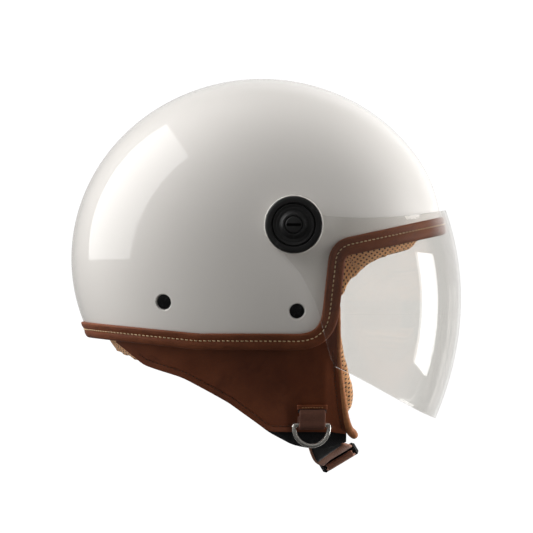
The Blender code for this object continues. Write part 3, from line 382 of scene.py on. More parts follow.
def sweep(name, path, first, second, sections, closed=False):
    """Sections of (a, b) points carried along a path, with their axes first and second at each point."""
    grid = path[:, None] + first[:, None] * sections[..., :1] + second[:, None] * sections[..., 1:]
    return grid_object(name, grid, (closed, True), caps=not closed)


def tube(name, path, radii, up, sides, closed=False):
    """A round wire or roll. Open ends are domed."""
    radii = np.broadcast_to(np.asarray(radii, float), (len(path),))
    if closed:
        ahead = unit(np.roll(path, -1, 0) - np.roll(path, 1, 0))
    else:
        ahead = unit(np.gradient(path, axis=0))
        turns = np.radians((80, 60, 40, 20))
        head = [path[0] - ahead[0] * radii[0] * math.sin(a) for a in turns]
        tail = [path[-1] + ahead[-1] * radii[-1] * math.sin(a) for a in turns[::-1]]
        swell = np.cos(turns)
        path = np.vstack([head, path, tail])
        radii = np.concatenate([radii[0] * swell, radii, radii[-1] * swell[::-1]])
        ahead = np.vstack([[ahead[0]] * 4, ahead, [ahead[-1]] * 4])
    side = unit(np.cross(ahead, up))
    return sweep(name, path, side, np.cross(side, ahead), circle(sides)[None] * radii[:, None, None], closed)


def band_section(width, thickness, across=14, edge=4):
    """A flat band's section with round edges."""
    half, r = width / 2 - thickness / 2, thickness / 2
    turn = [math.pi / 2 * (1 + 2 * k / edge) for k in range(1, edge)]
    one = [(a, r) for a in np.linspace(half, -half, across)]
    one += [(-half + r * math.cos(a), r * math.sin(a)) for a in turn]
    return np.array(one + [(-a, -b) for a, b in one])


def band(name, path, across, thickness):
    """A flat strap: across are its half-width vectors."""
    side = unit(across)
    out = unit(np.cross(unit(np.gradient(path, axis=0)), side))
    sections = [band_section(2 * half, thickness) for half in np.linalg.norm(across, axis=1)]
    return sweep(name, path, side, out, np.array(sections))


STITCH_SINK = 0.3  # how much of its radius a stitch lies in the surface


def stitches(name, path, normals, size, closed=False, slant=0.0):
    """Thread seen on a surface: short rounded stitches along a path, bowed into the surface at their ends.

    size is the stitches' pitch, length and radius.
    """
    pitch, length, radius = size
    count = max(int(round(lengths_along(path, closed)[-1] / pitch)), 1)
    shares = (np.arange(count) + 0.5) / count
    after, before = (shares + 0.002) % 1.0001, shares - 0.002 * (shares > 0.002)
    ahead = unit(resample(path, 0, closed, at=after) - resample(path, 0, closed, at=before))
    out = unit(resample(normals, 0, closed, at=shares))
    side = unit(np.cross(ahead, out))
    ahead = unit(ahead + slant * side)
    side = np.cross(ahead, out)
    lie = resample(path, 0, closed, at=shares) + out * radius * (1 - STITCH_SINK)
    rings, sides = 7, 8
    along = np.linspace(-1, 1, rings)[:, None]
    swell = np.sqrt(np.maximum(1 - along**4, 0.02))[..., None]
    twist = rng.normal(0, 0.03, count)[:, None, None]
    lie, ahead, side, out = (v[:, None] for v in (lie, ahead, side, out))
    centres = lie + ahead * along * length / 2 + side * along * twist * length - out * radius * 1.1 * along**4
    across, up = circle(sides)[:, :1], circle(sides)[:, 1:] * 0.8
    points = centres[:, :, None] + (side[:, None] * across + out[:, None] * up) * radius * swell
    faces, uv = [], []
    for ring in range(count * rings):
        low = ring * sides
        if ring % rings in (0, rings - 1):
            faces.append(tuple(range(low, low + sides)))
            uv.append([(0.0, 0.0)] * sides)
        if ring % rings == rings - 1:
            continue
        for c in range(sides):
            d = (c + 1) % sides
            faces.append((low + c, low + d, low + sides + d, low + sides + c))
            corners = ((c, 0), (c + 1, 0), (c + 1, 1), (c, 1))
            uv.append([(a / sides * radius * 6, (ring + b) / rings * length) for a, b in corners])
    return make_object(name, points, faces, uv)


# ---------------------------------------------------------------- materials
class Nodes:
    """Adds nodes to a tree. Inputs are values, or sockets to link."""

    def __init__(self, tree):
        self.tree = tree

    def put(self, socket, value):
        if isinstance(value, bpy.types.NodeSocket):
            self.tree.links.new(value, socket)
        else:
            socket.default_value = value

    def node(self, kind, inputs=(), **properties):
        made = self.tree.nodes.new(kind)
        for key, value in properties.items():
            setattr(made, key, value)
        for key, value in dict(inputs).items():
            self.put(made.inputs[key], value)
        return made

    def shader(self, kind, **inputs):
        return self.node(f"ShaderNode{kind}", inputs).outputs[0]

    def blend(self, share, a, b):
        """Shader a, with this share of shader b."""
        return self.node("ShaderNodeMixShader", {0: share, 1: a, 2: b}).outputs[0]

    def ray(self, kind):
        return self.node("ShaderNodeLightPath").outputs[kind]

    def math(self, operation, a, b):
        return self.node("ShaderNodeMath", {0: a, 1: b}, operation=operation).outputs[0]

    def wave(self, value, pitch, kind="SINE"):
        return self.math(kind, self.times(value, 2 * math.pi / pitch), 0.0)

    def times(self, a, b):
        return self.math("MULTIPLY", a, b)

    def plus(self, a, b):
        return self.math("ADD", a, b)

    def split(self, vector):
        return self.node("ShaderNodeSeparateXYZ", {0: vector}).outputs

    def ramp(self, value, low, high, to_low=0.0, to_high=1.0, smooth=False):
        kind = "SMOOTHSTEP" if smooth else "LINEAR"
        inputs = {"Value": value, "From Min": low, "From Max": high, "To Min": to_low, "To Max": to_high}
        return self.node("ShaderNodeMapRange", inputs, interpolation_type=kind).outputs[0]


class Paint(Nodes):
    """A node material, built from the shader back."""

    def __init__(self, name):
        self.material = bpy.data.materials.new(name)
        self.material.use_nodes = True
        super().__init__(self.material.node_tree)
        self.principled = self.tree.nodes["Principled BSDF"]

    def set(self, **values):
        for key, value in values.items():
            self.put(self.principled.inputs[key.replace("_", " ")], value)
        return self.material

    def end(self, shader):
        self.tree.links.new(shader, self.tree.nodes["Material Output"].inputs[0])
        return self.material

    def where(self, kind="Object"):
        if kind == "UV":
            return self.node("ShaderNodeUVMap", uv_map="metres").outputs[0]
        return self.node("ShaderNodeTexCoord").outputs[kind]

    def stretched(self, vector, scale):
        return self.node("ShaderNodeVectorMath", {0: vector, 1: scale}, operation="MULTIPLY").outputs[0]

    def noise(self, scale, detail=3.0, roughness=0.55, vector=None, distortion=0.0):
        inputs = {"Scale": scale, "Detail": detail, "Roughness": roughness, "Distortion": distortion}
        inputs["Vector"] = vector or self.where()
        return self.node("ShaderNodeTexNoise", inputs).outputs[0]

    def cells(self, scale, feature="SMOOTH_F1"):
        inputs = {"Scale": scale, "Vector": self.where(), "Randomness": 1.0}
        return self.node("ShaderNodeTexVoronoi", inputs, feature=feature).outputs["Distance"]

    def mix(self, share, a, b):
        made = self.node("ShaderNodeMix", {"Factor": share}, data_type="RGBA")
        for socket, value in ((made.inputs[6], a), (made.inputs[7], b)):
            self.put(socket, (*value, 1.0) if isinstance(value, tuple) and len(value) == 3 else value)
        return made.outputs[2]

    def tones(self, mask, a, b, low=0.3, high=0.7, share=1.0):
        """Colour a where the mask is low, turning to b where it is high, up to this share."""
        return self.mix(self.ramp(mask, low, high, 0.0, share), a, b)

    def bump(self, height, distance, strength):
        inputs = {"Height": height, "Distance": distance, "Strength": strength}
        return self.node("ShaderNodeBump", inputs).outputs[0]

    def raised(self):
        """Above 0.5 on ridges and edges, below it in grooves."""
        return self.node("ShaderNodeNewGeometry").outputs["Pointiness"]


def darker(colour, share):
    return tuple(share * c for c in colour)


def worn(colour, gain):
    return tuple(min(gain * c + 0.02, 1.0) for c in colour)


HOLE_PITCH = 0.0048  # of the spacer mesh, across
TINT_FADE = (-0.064, -0.050)  # over this stretch of y the visor's tint fades out, towards the rear
MIRROR_AHEAD = 0.043  # how much the visor mirrors where it is seen square on


def lacquer():
    """White gloss lacquer over a moulded shell: faint orange peel under a clear coat."""
    p = Paint("white_lacquer")
    colour = p.tones(p.noise(9, 2), (0.812, 0.782, 0.745), (0.824, 0.794, 0.757), 0.35, 0.65)
    peel = p.noise(420, 2, 0.4)
    p.set(Base_Color=colour, Roughness=p.ramp(p.noise(35, 2), 0.3, 0.7, 0.28, 0.34), Specular_IOR_Level=0.08)
    return p.set(Coat_Weight=1.0, Coat_Roughness=0.02, Coat_IOR=1.5, Normal=p.bump(peel, 0.00002, 0.6))


def clear_plastic():
    """Clear polycarbonate, smoked ahead of the shell. It mirrors at a slant and holds fine wipe marks."""
    p = Paint("clear_polycarbonate")
    wipe = p.noise(1, 4, 0.6, p.stretched(p.where(), (900, 60, 900)), 0.4)
    smudge = p.noise(22, 4, 0.6)
    tint = p.tones(smudge, (0.922, 0.915, 0.902), (0.930, 0.924, 0.912))
    tint = p.mix(p.ramp(p.split(p.where())[1], *TINT_FADE, smooth=True), tint, (0.985, 0.983, 0.978))
    clear = p.shader("BsdfTransparent", Color=tint)
    rough = p.ramp(p.times(wipe, smudge), 0.15, 0.45, 0.004, 0.03)
    normal = p.bump(wipe, 0.000001, 0.4)
    gloss = p.shader("BsdfGlossy", Color=(1, 1, 1, 1), Roughness=rough, Normal=normal)
    facing = p.node("ShaderNodeLayerWeight", {"Blend": 0.5, "Normal": normal}).outputs["Facing"]
    mirror = p.plus(p.times(p.math("POWER", facing, 5.0), 1 - MIRROR_AHEAD), MIRROR_AHEAD)
    body = p.blend(mirror, clear, gloss)
    p.set(Base_Color=(0.80, 0.79, 0.77, 1), Roughness=0.5)
    haze = p.ramp(p.times(p.ramp(wipe, 0.58, 0.75), smudge), 0, 1, 0.004, 0.03)
    body = p.blend(haze, body, p.principled.outputs[0])
    return p.end(p.blend(p.ray("Is Shadow Ray"), body, p.shader("BsdfTransparent", Color=(1, 1, 1, 1))))


def cut_edge():
    """The polished edge of clear plastic, with a painted glow: a near-white face and a faint emission make it
    pale on dark, and grey on white.
    """
    p = Paint("polycarbonate_cut_edge_painted_glow")
    mill = p.noise(1, 3, 0.6, p.stretched(p.where(), (300, 300, 2600)), 0.2)
    clear = p.shader("BsdfTransparent", Color=p.tones(mill, (0.62, 0.61, 0.60), (0.70, 0.69, 0.68)))
    # painted glow: the white emission and the near-white base colour, which takes 90% of the mix below, stand
    # for light gathered by the edge
    p.set(Emission_Color=(1.0, 0.98, 0.98, 1), Emission_Strength=0.16, Base_Color=(0.94, 0.93, 0.93, 1))
    p.set(Roughness=p.ramp(mill, 0.3, 0.7, 0.10, 0.22), Normal=p.bump(mill, 0.00002, 0.4))
    return p.end(p.blend(0.9, clear, p.principled.outputs[0]))


def leather(name, dark, light, grain, creases, depth, gloss=0.44):
    """Grained leather: pebbled and creased, with a soft sheen, painted shade in the folds and worn pale on
    ridges.
    """
    p = Paint(name)
    pebble = p.cells(grain)
    fine = p.noise(grain * 2.2, 3)
    crease = p.noise(1, 4, 0.6, p.stretched(p.where("UV"), (*creases, 1)), 0.6)
    colour = p.tones(p.noise(26, 4, 0.6), dark, light)
    colour = p.tones(pebble, colour, darker(dark, 0.55), 0.55, 0.15, 0.30)
    # painted shade: the colour darkens where the creases sink
    colour = p.tones(crease, colour, darker(dark, 0.55), 0.44, 0.34, 0.45)
    colour = p.tones(p.raised(), colour, worn(light, 1.7), 0.52, 0.60, 0.55)
    height = p.plus(p.times(pebble, -0.5), p.times(fine, 0.25))
    height = p.plus(height, p.times(p.ramp(crease, 0.3, 0.6), 0.9))
    p.set(Base_Color=colour, Roughness=p.ramp(p.plus(pebble, fine), 0.4, 1.1, gloss, gloss + 0.22))
    p.set(Normal=p.bump(height, depth, 0.8), Specular_IOR_Level=0.32)
    return p.set(Sheen_Weight=0.05, Sheen_Roughness=0.5, Sheen_Tint=(*light, 1))


def mesh_fabric():
    """Spacer mesh: staggered rows of small holes through a ribbed, slightly fuzzy knit."""
    p = Paint("tan_spacer_mesh")
    u, v, _ = p.split(p.where("UV"))
    holes = p.times(p.wave(u, HOLE_PITCH, "COSINE"), p.wave(v, 0.0034, "COSINE"))
    hole = p.ramp(holes, 0.30, 0.62, smooth=True)
    rib = p.wave(p.plus(u, p.times(v, 0.7)), 0.0006)
    fuzz = p.noise(2400, 4, 0.7)
    colour = p.tones(p.noise(40, 3), (0.90, 0.420, 0.165), (0.96, 0.500, 0.225))
    colour = p.tones(rib, colour, (0.88, 0.54, 0.28), -1, 1, 0.30)
    colour = p.tones(fuzz, colour, (0.46, 0.21, 0.09), 0.45, 0.7, 0.30)
    # the holes are real, and their near-black colour is painted shade inside them
    colour = p.mix(hole, colour, (0.060, 0.022, 0.010))
    height = p.math("SUBTRACT", p.times(p.plus(rib, fuzz), 0.12), hole)
    p.set(Base_Color=colour, Roughness=p.ramp(fuzz, 0.3, 0.7, 0.72, 0.95), Normal=p.bump(height, 0.0007, 0.9))
    return p.set(Sheen_Weight=0.25, Sheen_Roughness=0.6, Specular_IOR_Level=0.25)


def woven(name, dark, light, pitch, depth, gloss):
    """A plain weave: warp and weft cross over and under each other, with loose fibres."""
    p = Paint(name)
    u, v, _ = p.split(p.where("UV"))
    over = p.times(p.wave(u, pitch[0]), p.wave(v, pitch[1]))
    fibre = p.noise(3200, 4, 0.7)
    colour = p.tones(over, dark, light, -0.8, 0.8)
    colour = p.tones(fibre, colour, darker(dark, 0.5), 0.4, 0.7, 0.4)
    colour = p.tones(p.noise(45, 4, 0.6), colour, darker(dark, 0.7), 0.35, 0.65, 0.25)
    height = p.plus(p.times(over, 0.5), p.times(fibre, 0.35))
    p.set(Base_Color=colour, Roughness=p.ramp(fibre, 0.3, 0.7, gloss, gloss + 0.25))
    p.set(Normal=p.bump(height, depth, 0.9))
    return p.set(Sheen_Weight=0.3, Sheen_Roughness=0.45, Specular_IOR_Level=0.3)


def moulded(name, dark, light, gloss):
    """Moulded plastic with a fine spark-eroded texture, rubbed paler on its edges."""
    p = Paint(name)
    spark, tone = p.noise(2200, 4, 0.6), p.noise(60, 3)
    colour = p.tones(p.raised(), p.tones(tone, dark, light), worn(light, 2.6), 0.54, 0.66, 0.5)
    rough = p.ramp(p.plus(spark, tone), 0.6, 1.4, gloss, gloss + 0.16)
    return p.set(Base_Color=colour, Roughness=rough, Normal=p.bump(spark, 0.00004, 0.7))


def nickel():
    """Polished nickel plate with fine rubbing marks and a warm cast."""
    p = Paint("nickel_plate")
    rub = p.noise(1, 4, 0.6, p.stretched(p.where(), (2400, 2400, 260)), 0.3)
    colour = p.tones(p.noise(80, 3), (0.80, 0.77, 0.71), (0.90, 0.88, 0.83))
    colour = p.tones(p.raised(), colour, (0.30, 0.27, 0.23), 0.47, 0.36, 0.35)
    p.set(Base_Color=colour, Metallic=0.78, Roughness=p.ramp(rub, 0.3, 0.7, 0.15, 0.21))
    return p.set(Normal=p.bump(rub, 0.000005, 0.3))


def bead_foam():
    """Charcoal expanded foam: fused beads, with painted shade darkening the grooves between them."""
    p = Paint("bead_foam")
    edge, tone = p.cells(330, "DISTANCE_TO_EDGE"), p.noise(120, 3)
    colour = p.tones(tone, (0.035, 0.036, 0.040), (0.060, 0.061, 0.066))
    # painted shade: near black in the grooves along the beads' edges
    colour = p.mix(p.ramp(edge, 0.0, 0.10, 0.7, 0.0), colour, (0.012, 0.012, 0.014))
    height = p.math("SUBTRACT", p.ramp(edge, 0, 0.16), p.times(p.cells(330, "F1"), 0.3))
    rough = p.ramp(tone, 0.3, 0.7, 0.55, 0.8)
    return p.set(Base_Color=colour, Roughness=rough, Normal=p.bump(height, 0.0005, 0.8))


def thread(name, dark, light):
    """Waxed two-ply thread."""
    p = Paint(name)
    u, v, _ = p.split(p.where("UV"))
    ply = p.wave(p.plus(v, u), 0.0009)
    fibre = p.noise(5000, 3)
    colour = p.tones(fibre, p.tones(ply, dark, light, -1, 1), darker(dark, 0.6), 0.45, 0.7, 0.3)
    rough = p.ramp(fibre, 0.3, 0.7, 0.45, 0.7)
    return p.set(Base_Color=colour, Roughness=rough, Normal=p.bump(ply, 0.0001, 0.8))


LACQUER, CLEAR, CUT_EDGE_GLOW, SPACER_MESH, NICKEL, FOAM = (
    paint() for paint in (lacquer, clear_plastic, cut_edge, mesh_fabric, nickel, bead_foam)
)
TRIM_LEATHER = leather(
    "brown_trim_leather", (0.135, 0.036, 0.013), (0.210, 0.062, 0.023), 950, (330, 90), 0.00016
)
FLAP_LEATHER_PAINT = leather(
    "dark_flap_leather", (0.125, 0.031, 0.011), (0.185, 0.050, 0.017), 1100, (34, 34), 0.0001, 0.50
)
PIPING_LEATHER = leather(
    "tan_piping_leather", (0.400, 0.150, 0.058), (0.520, 0.215, 0.090), 1000, (70, 420), 0.00014, 0.42
)
TAB_LEATHER_PAINT = leather(
    "brown_tab_leather", (0.120, 0.049, 0.032), (0.175, 0.077, 0.052), 1200, (40, 200), 0.0001, 0.50
)
BLACK_KNIT = woven("black_knit", (0.006, 0.006, 0.007), (0.020, 0.020, 0.022), (0.0012, 0.0012), 0.0002, 0.7)
WEBBING_WEAVE = woven(
    "brown_webbing", (0.370, 0.165, 0.105), (0.600, 0.310, 0.210), (0.0017, 0.0013), 0.00022, 0.5
)
BLACK_PLASTIC = moulded("black_satin_plastic", (0.0130, 0.0130, 0.0132), (0.0200, 0.0200, 0.0202), 0.34)
SCREW_BLACK = moulded("black_screw_plastic", (0.0150, 0.0150, 0.0150), (0.0220, 0.0220, 0.0220), 0.30)
# painted shade for the faces sunk in the screw's coin slot
SLOT_SHADE_BLACK = moulded("black_slot_painted_shade", (0.0012, 0.0012, 0.0012), (0.0022, 0.0022, 0.0022), 0.60)
GLOSS_BLACK = moulded("black_gloss_plastic", (0.0060, 0.0060, 0.0064), (0.0100, 0.0100, 0.0105), 0.16)
CREAM_THREAD = thread("cream_thread", (0.62, 0.42, 0.21), (0.90, 0.70, 0.42))
TAN_THREAD = thread("tan_thread", (0.22, 0.095, 0.035), (0.36, 0.17, 0.07))
BROWN_THREAD = thread("brown_thread", (0.050, 0.020, 0.010), (0.090, 0.038, 0.018))


def dress(obj, paint, body, nodes=()):
    """Gives a piece its material, and says what it rides on and which CAD nodes it stands for."""
    if not obj.data.materials:
        obj.data.materials.append(paint)
    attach(obj, body)
    if nodes:
        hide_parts(*nodes)
    return obj


def sew(name, path, normals, paint, size, **how):
    dress(stitches(name, path, normals, size, **how), paint, "helmet")


def points_of(mesh):
    co = np.empty(len(mesh.vertices) * 3, np.float32)
    mesh.vertices.foreach_get("co", co)
    return co.reshape(-1, 3)


def corners_of(mesh):
    """The vertex of each face corner."""
    loops = np.empty(len(mesh.loops), np.int32)
    mesh.loops.foreach_get("vertex_index", loops)
    return loops


# ---------------------------------------------------------------- shell, foam and visor
def skin_grid(corners, depth, half_columns, rings):
    """Rows of points from the pole down to an outline."""
    rim = loop_round(on_skin(corners, depth, half_columns))
    top = np.broadcast_to(unit(POLE), rim.shape)
    return np.array([skin_along(slerp(top, unit(rim), t), depth) for t in np.linspace(0, 1, rings + 1)])


def matrix_on(origin, normal, up=(0, 0, 1)):
    """A matrix with its z axis on the normal and its x axis as near as can be to up."""
    z = Vector(normal).normalized()
    y = z.cross(Vector(up)).normalized()
    turn = Matrix((y.cross(z), y, z)).transposed()
    return Matrix.Translation(Vector(origin)) @ turn.to_4x4()


def pivot_matrix(side):
    return matrix_on(place((0, *PIVOT)), (side, 0, 0))


def rivet_matrix(side, which):
    f, h = RIVETS[which]
    point = np.array((side * skin_x(np.array(f), np.array(h)), f, h))
    return matrix_on(place(point), skin_normal(point) * (1, -1, 1))


def cut(obj, cutter):
    """Cuts one object away from another and removes it."""
    change = obj.modifiers.new("Cut", "BOOLEAN")
    change.object, change.operation, change.solver = cutter, "DIFFERENCE", "EXACT"
    applied(obj)
    bpy.data.objects.remove(cutter)


def follow_skin(mesh):
    """Sets the normals of the outer face from the skin itself, so that gloss runs smoothly past a hole."""
    side_view = points_of(mesh).astype(float) * (1, -1, 1) + (0, 0, CROWN_REST)
    normals = skin_normal(side_view) * (1, -1, 1)
    outer = np.abs(level(side_view) - 1) < 2e-3
    vertices = corners_of(mesh)
    kept = np.array([n.vector for n in mesh.corner_normals])
    for face in mesh.polygons:
        span = slice(face.loop_start, face.loop_start + face.loop_total)
        corners = vertices[span]
        if outer[corners].all() and np.dot(normals[corners[0]], face.normal) > 0.9:
            kept[span] = normals[corners]
    mesh.normals_split_custom_set(kept.tolist())


BOSS_PROFILE = [  # radius, and rise from the skin to the boss's flat top
    (0.0100, 1.0), (0.0200, 1.0), (0.0205, 0.99), (0.0208, 0.95), (0.0210, 0.86), (0.0211, 0.60),
    (0.0212, 0.30), (0.0213, 0.12), (0.0215, 0.03), (0.0219, -0.03),
]


def make_shell():
    """The shell, its countersinks and the round boss under each of the visor's ears."""
    skin = grid_object("shell_lacquered", place(skin_grid(SHELL_RIM, 0, 121, 90)), (False, True))
    shell = thicken(face_away(skin), SHELL_WALL)
    head = RIVET_HEAD + 0.0003
    flare = [(0, -0.0030), (head, -0.0030), (head, -0.0014)]
    for a in np.radians((25, 50, 70)):
        flare.append((head + 0.0016 * (1 - math.cos(a)), -0.0014 + 0.0014 * math.sin(a)))
    flare += [(head + 0.0022, 0.0006), (0, 0.0006)]
    for side, _ in SIDES:
        for which in RIVETS:
            cut(shell, turned("cutter", flare, rivet_matrix(side, which), 64))
    follow_skin(shell.data)
    dress(shell, LACQUER, "helmet", ["shell"])
    radius, rise = np.array(BOSS_PROFILE).T[..., None]
    f, h = (PIVOT[k] + radius * circle(144)[:, k] for k in (0, 1))
    base = skin_x(f, h)
    for side, word in SIDES:
        x = side * (base + (BOSS_TOP - base) * rise)
        boss = face_away(grid_object(f"boss_{word}", place(np.stack([x, f, h], -1)), (False, True)))
        dress(boss, LACQUER, "helmet")


def visor_width(h):
    return VISOR_X - VISOR_NARROWS * min(h, 0.0) ** 2


def visor_point(turn, h):
    """turn 0 is at the nose and 1 where the flat wing starts. Above 1 it runs back along the wing."""
    if turn > 1:
        return (visor_width(h), VISOR_FLAT_TO - (turn - 1) * WING_STEP, h)
    radius = VISOR_NOSE_RADIUS[0] if h > VISOR_NOSE_H else VISOR_NOSE_RADIUS[1]
    nose = VISOR_NOSE - (h - VISOR_NOSE_H) ** 2 / (2 * radius)
    out, ahead = math.sin(turn * math.pi / 2), max(math.cos(turn * math.pi / 2), 0.0)
    f = VISOR_FLAT_TO + (nose - VISOR_FLAT_TO) * ahead ** (2 / VISOR_PLAN)
    return (visor_width(h) * out ** (2 / VISOR_PLAN), f, h)


def ear_edge(f, way):
    """The height of the visor's round ear at f, above the pivot (way 1) or below it (way -1)."""
    return PIVOT[1] + way * math.sqrt(max(EAR_RADIUS**2 - (f - PIVOT[0]) ** 2, 0))


def visor_top(f):
    edge = VISOR_TOP_LOW[1] + VISOR_TOP_BEND * (f - VISOR_TOP_LOW[0]) ** 2
    return max(ear_edge(f, 1), edge) if f > PIVOT[0] else ear_edge(f, 1)


def visor_bottom(f, lower):
    return ear_edge(f, -1) if f < lower[0][0] else float(np.interp(f, lower[:, 0], lower[:, 1]))


def make_visor():
    lower = rounded(VISOR_LOWER)
    rows, wing_columns = 30, 26
    wing = (VISOR_FLAT_TO - PIVOT[0] + EAR_RADIUS - 0.00005) / WING_STEP
    turns = [*np.linspace(0, 1, 37)]
    turns += [1 + wing * math.sin(math.pi / 2 * i / wing_columns) for i in range(1, wing_columns + 1)]
    half = []
    for turn in turns:
        top = bottom = 0.0
        for _ in range(40):
            top = visor_top(visor_point(turn, top)[1])
            bottom = 0.5 * (bottom + visor_bottom(visor_point(turn, bottom)[1], lower))
        half.append([visor_point(turn, top + (bottom - top) * r / rows) for r in range(rows + 1)])
    half = np.array(half)
    grid = np.concatenate([(half[1:] * (-1, 1, 1))[::-1], half]).transpose(1, 0, 2)
    visor = face_away(grid_object("visor_clear", place(grid)))
    visor.data.materials.append(CLEAR)
    visor.data.materials.append(CUT_EDGE_GLOW)
    wall = visor.modifiers.new("Wall", "SOLIDIFY")
    wall.thickness, wall.offset, wall.use_even_offset, wall.material_offset_rim = VISOR_WALL, 1, True, 1
    bevel = visor.modifiers.new("Edge", "BEVEL")
    bevel.width, bevel.segments, bevel.material = 0.0008, 2, 1
    bevel.limit_method, bevel.angle_limit = "ANGLE", math.radians(50)
    applied(visor)
    bore = BUSH_RADIUS + 0.0003
    profile = [(0, 0.10), (bore, 0.10), (bore, 0.13), (0, 0.13)]
    for side, _ in SIDES:
        cut(visor, turned("cutter", profile, pivot_matrix(side), 64))
    dress(visor, CLEAR, "visor", ["visor"])


def make_foam():
    grid = skin_grid(FOAM_RIM, FOAM_DEPTH, 61, 30)
    foam = thicken(face_away(grid_object("foam_liner", place(grid), (False, True))), FOAM_WALL, 0.003)
    dress(foam, FOAM, "helmet", ["impact_foam"])


# ---------------------------------------------------------------- trim with its stitching
TRIM_SECTION = [  # mm: out of the shell's face, and past its rim
    (0.45, -9.3), (0.55, -10.1), (1.2, -10.45), (1.95, -10.1), (2.25, -8.9), (2.2, -7.2), (1.85, -5.7),
    (1.62, -4.9), (1.9, -4.1), (2.35, -2.7), (2.5, -1.0), (2.3, 0.7), (1.6, 2.0), (0.2, 2.7), (-2.0, 2.85),
    (-4.4, 2.6), (-5.8, 1.6), (-6.3, 0.0), (-6.35, -2.5), (-6.2, -5.0), (-5.9, -6.2), (-5.4, -5.9),
    (-5.3, -3.0), (-5.25, 0.5), (-4.6, 1.6), (-2.0, 1.75), (0.0, 1.6), (0.4, 0.8), (0.42, -3.0), (0.42, -6.0),
]
TRIM_SEAMS = [  # name, which way it faces, out of the shell's face, past its rim, and the stitches' slant
    ("edge_trim_stitching", 1, 0.00162, -0.0049, 0.10),
    ("edge_trim_stitching_inside", -1, -0.00628, -0.0032, 0.0),
]
RIM_CURVE = 0.110  # the radius that the shell's face has across its rim
TRIM_STITCHES = (0.0034, 0.0025, 0.00042)


def rim_frames(count):
    rim = loop_round(on_skin(SHELL_RIM, 0.0, count))
    ahead = unit(np.roll(rim, -1, 0) - np.roll(rim, 1, 0))
    normal = skin_normal(rim)
    away = unit(np.cross(ahead, normal))
    away *= np.sign(np.sum(away * (rim - POLE * 0.1), -1, keepdims=True))
    return rim, normal, away


def on_trim(rim, normal, away, out, past):
    """Points this far out of the shell's face and past its rim, following the face's curve."""
    return rim + normal * (out - past**2 / (2 * RIM_CURVE)) + away * past


def make_trim():
    rim, normal, away = rim_frames(261)
    closed = np.vstack([TRIM_SECTION, TRIM_SECTION[:2]])
    section = resample(smooth_line(closed, 120)[:-4], 64, closed=True) / 1000
    turn = np.arange(len(rim)) / len(rim) * 2 * math.pi
    pull = (0.00007 * np.sin(turn * 263) + 0.00010 * np.sin(turn * 31))[:, None]
    grid = [on_trim(rim, normal, away, out + pull * (out > 0.0015), past) for out, past in section]
    trim = grid_object("edge_trim_leather", place(np.stack(grid, 1)), (True, True))
    dress(trim, TRIM_LEATHER, "helmet", ["edge_trim"])
    for name, face, out, past, slant in TRIM_SEAMS:
        line, normals = place(on_trim(rim, normal, away, out, past)), face * normal * (1, -1, 1)
        sew(name, line, normals, CREAM_THREAD, TRIM_STITCHES, closed=True, slant=slant)


# ---------------------------------------------------------------- ear flaps
def curtain(top, edge, columns, rows):
    first, last = resample(rounded(top), columns), resample(rounded(edge), columns)
    t = np.linspace(0, 1, rows + 1)[:, None, None]
    return first * (1 - t) + last * t


def front_curtain(top, edge, columns, rows, line, tuck):
    """A curtain whose front edge is drawn to a line (f, h), so that it tucks into the piping."""
    flat = curtain(top, edge, columns, rows)
    order = np.argsort(line[:, 1])
    wanted = np.interp(flat[:, 0, 1], line[order, 1], line[order, 0]) - tuck
    share = smoothstep(1 - np.linspace(0, 1, columns) / 0.24)
    flat[..., 0] += (wanted - flat[:, 0, 0])[:, None] * share
    return flat


def beside(line, offset):
    """A side-view line moved square to itself."""
    ahead = unit(np.gradient(line, axis=0))
    return line + np.stack([-ahead[:, 1], ahead[:, 0]], -1) * offset


def distance_to(points, line):
    return np.min(np.linalg.norm(points[..., None, :] - line, axis=-1), axis=-1)


def wall_line(side, line):
    """A side-view line as points in the frame, lying on the flap's outer face, with the face's normals."""
    points = wall_point(side, line[:, 0], line[:, 1], np.full(len(line), FLAP_DEPTH))
    normals = wall_normal(line[:, 0], line[:, 1]) * (side, 1, 1)
    return place(points), normals * (1, -1, 1)


def eased(grid, passes=16):
    """Smooths a grid of points along its rows, with both ends held."""
    for _ in range(passes):
        grid[:, 1:-1] += 0.25 * (grid[:, 2:] - 2 * grid[:, 1:-1] + grid[:, :-2])
    return grid


def bulge(distance, height, width):
    return height * np.exp(-((distance / width) ** 2))


def make_flap_leather(side, word, front, hem, seam):
    """The leather: rolled at its hem and front edge, sunk along its stitching, and softly creased."""
    flat = front_curtain(FLAP_TOP, FLAP_EDGE, 150, 60, front, 0.0019)
    f, h = flat[..., 0], flat[..., 1]
    to_hem, to_seam = distance_to(flat, hem), distance_to(flat, seam)
    swell = 0.00045 * smoothstep(1 - to_hem / 0.0045) - bulge(to_hem - HEM_SEAM, 0.00040, 0.0008)
    swell += 0.00050 * smoothstep(1 - distance_to(flat, front) / 0.0052) - bulge(to_seam, 0.00055, 0.0007)
    soft = np.sin(f * 95 + 1.3) * np.sin(h * 70 + 0.4) * 0.0005 + np.sin(f * 260 + h * 120) * 0.00012
    crease = bulge(f - 0.047 - 0.02 * (h + 0.09), 0.0006, 0.0035) * smoothstep((-0.066 - h) / 0.02)
    below = smoothstep((-0.068 - h) / 0.012)
    points = wall_point(side, f, h, FLAP_DEPTH - (swell + soft + crease) * below)
    flap = face_away(grid_object(f"ear_flap_leather_{word}", place(points)))
    thicken(flap, FLAP_LEATHER, 0.0007)
    dress(flap, FLAP_LEATHER_PAINT, "helmet", [f"ear_flap_{word}"])


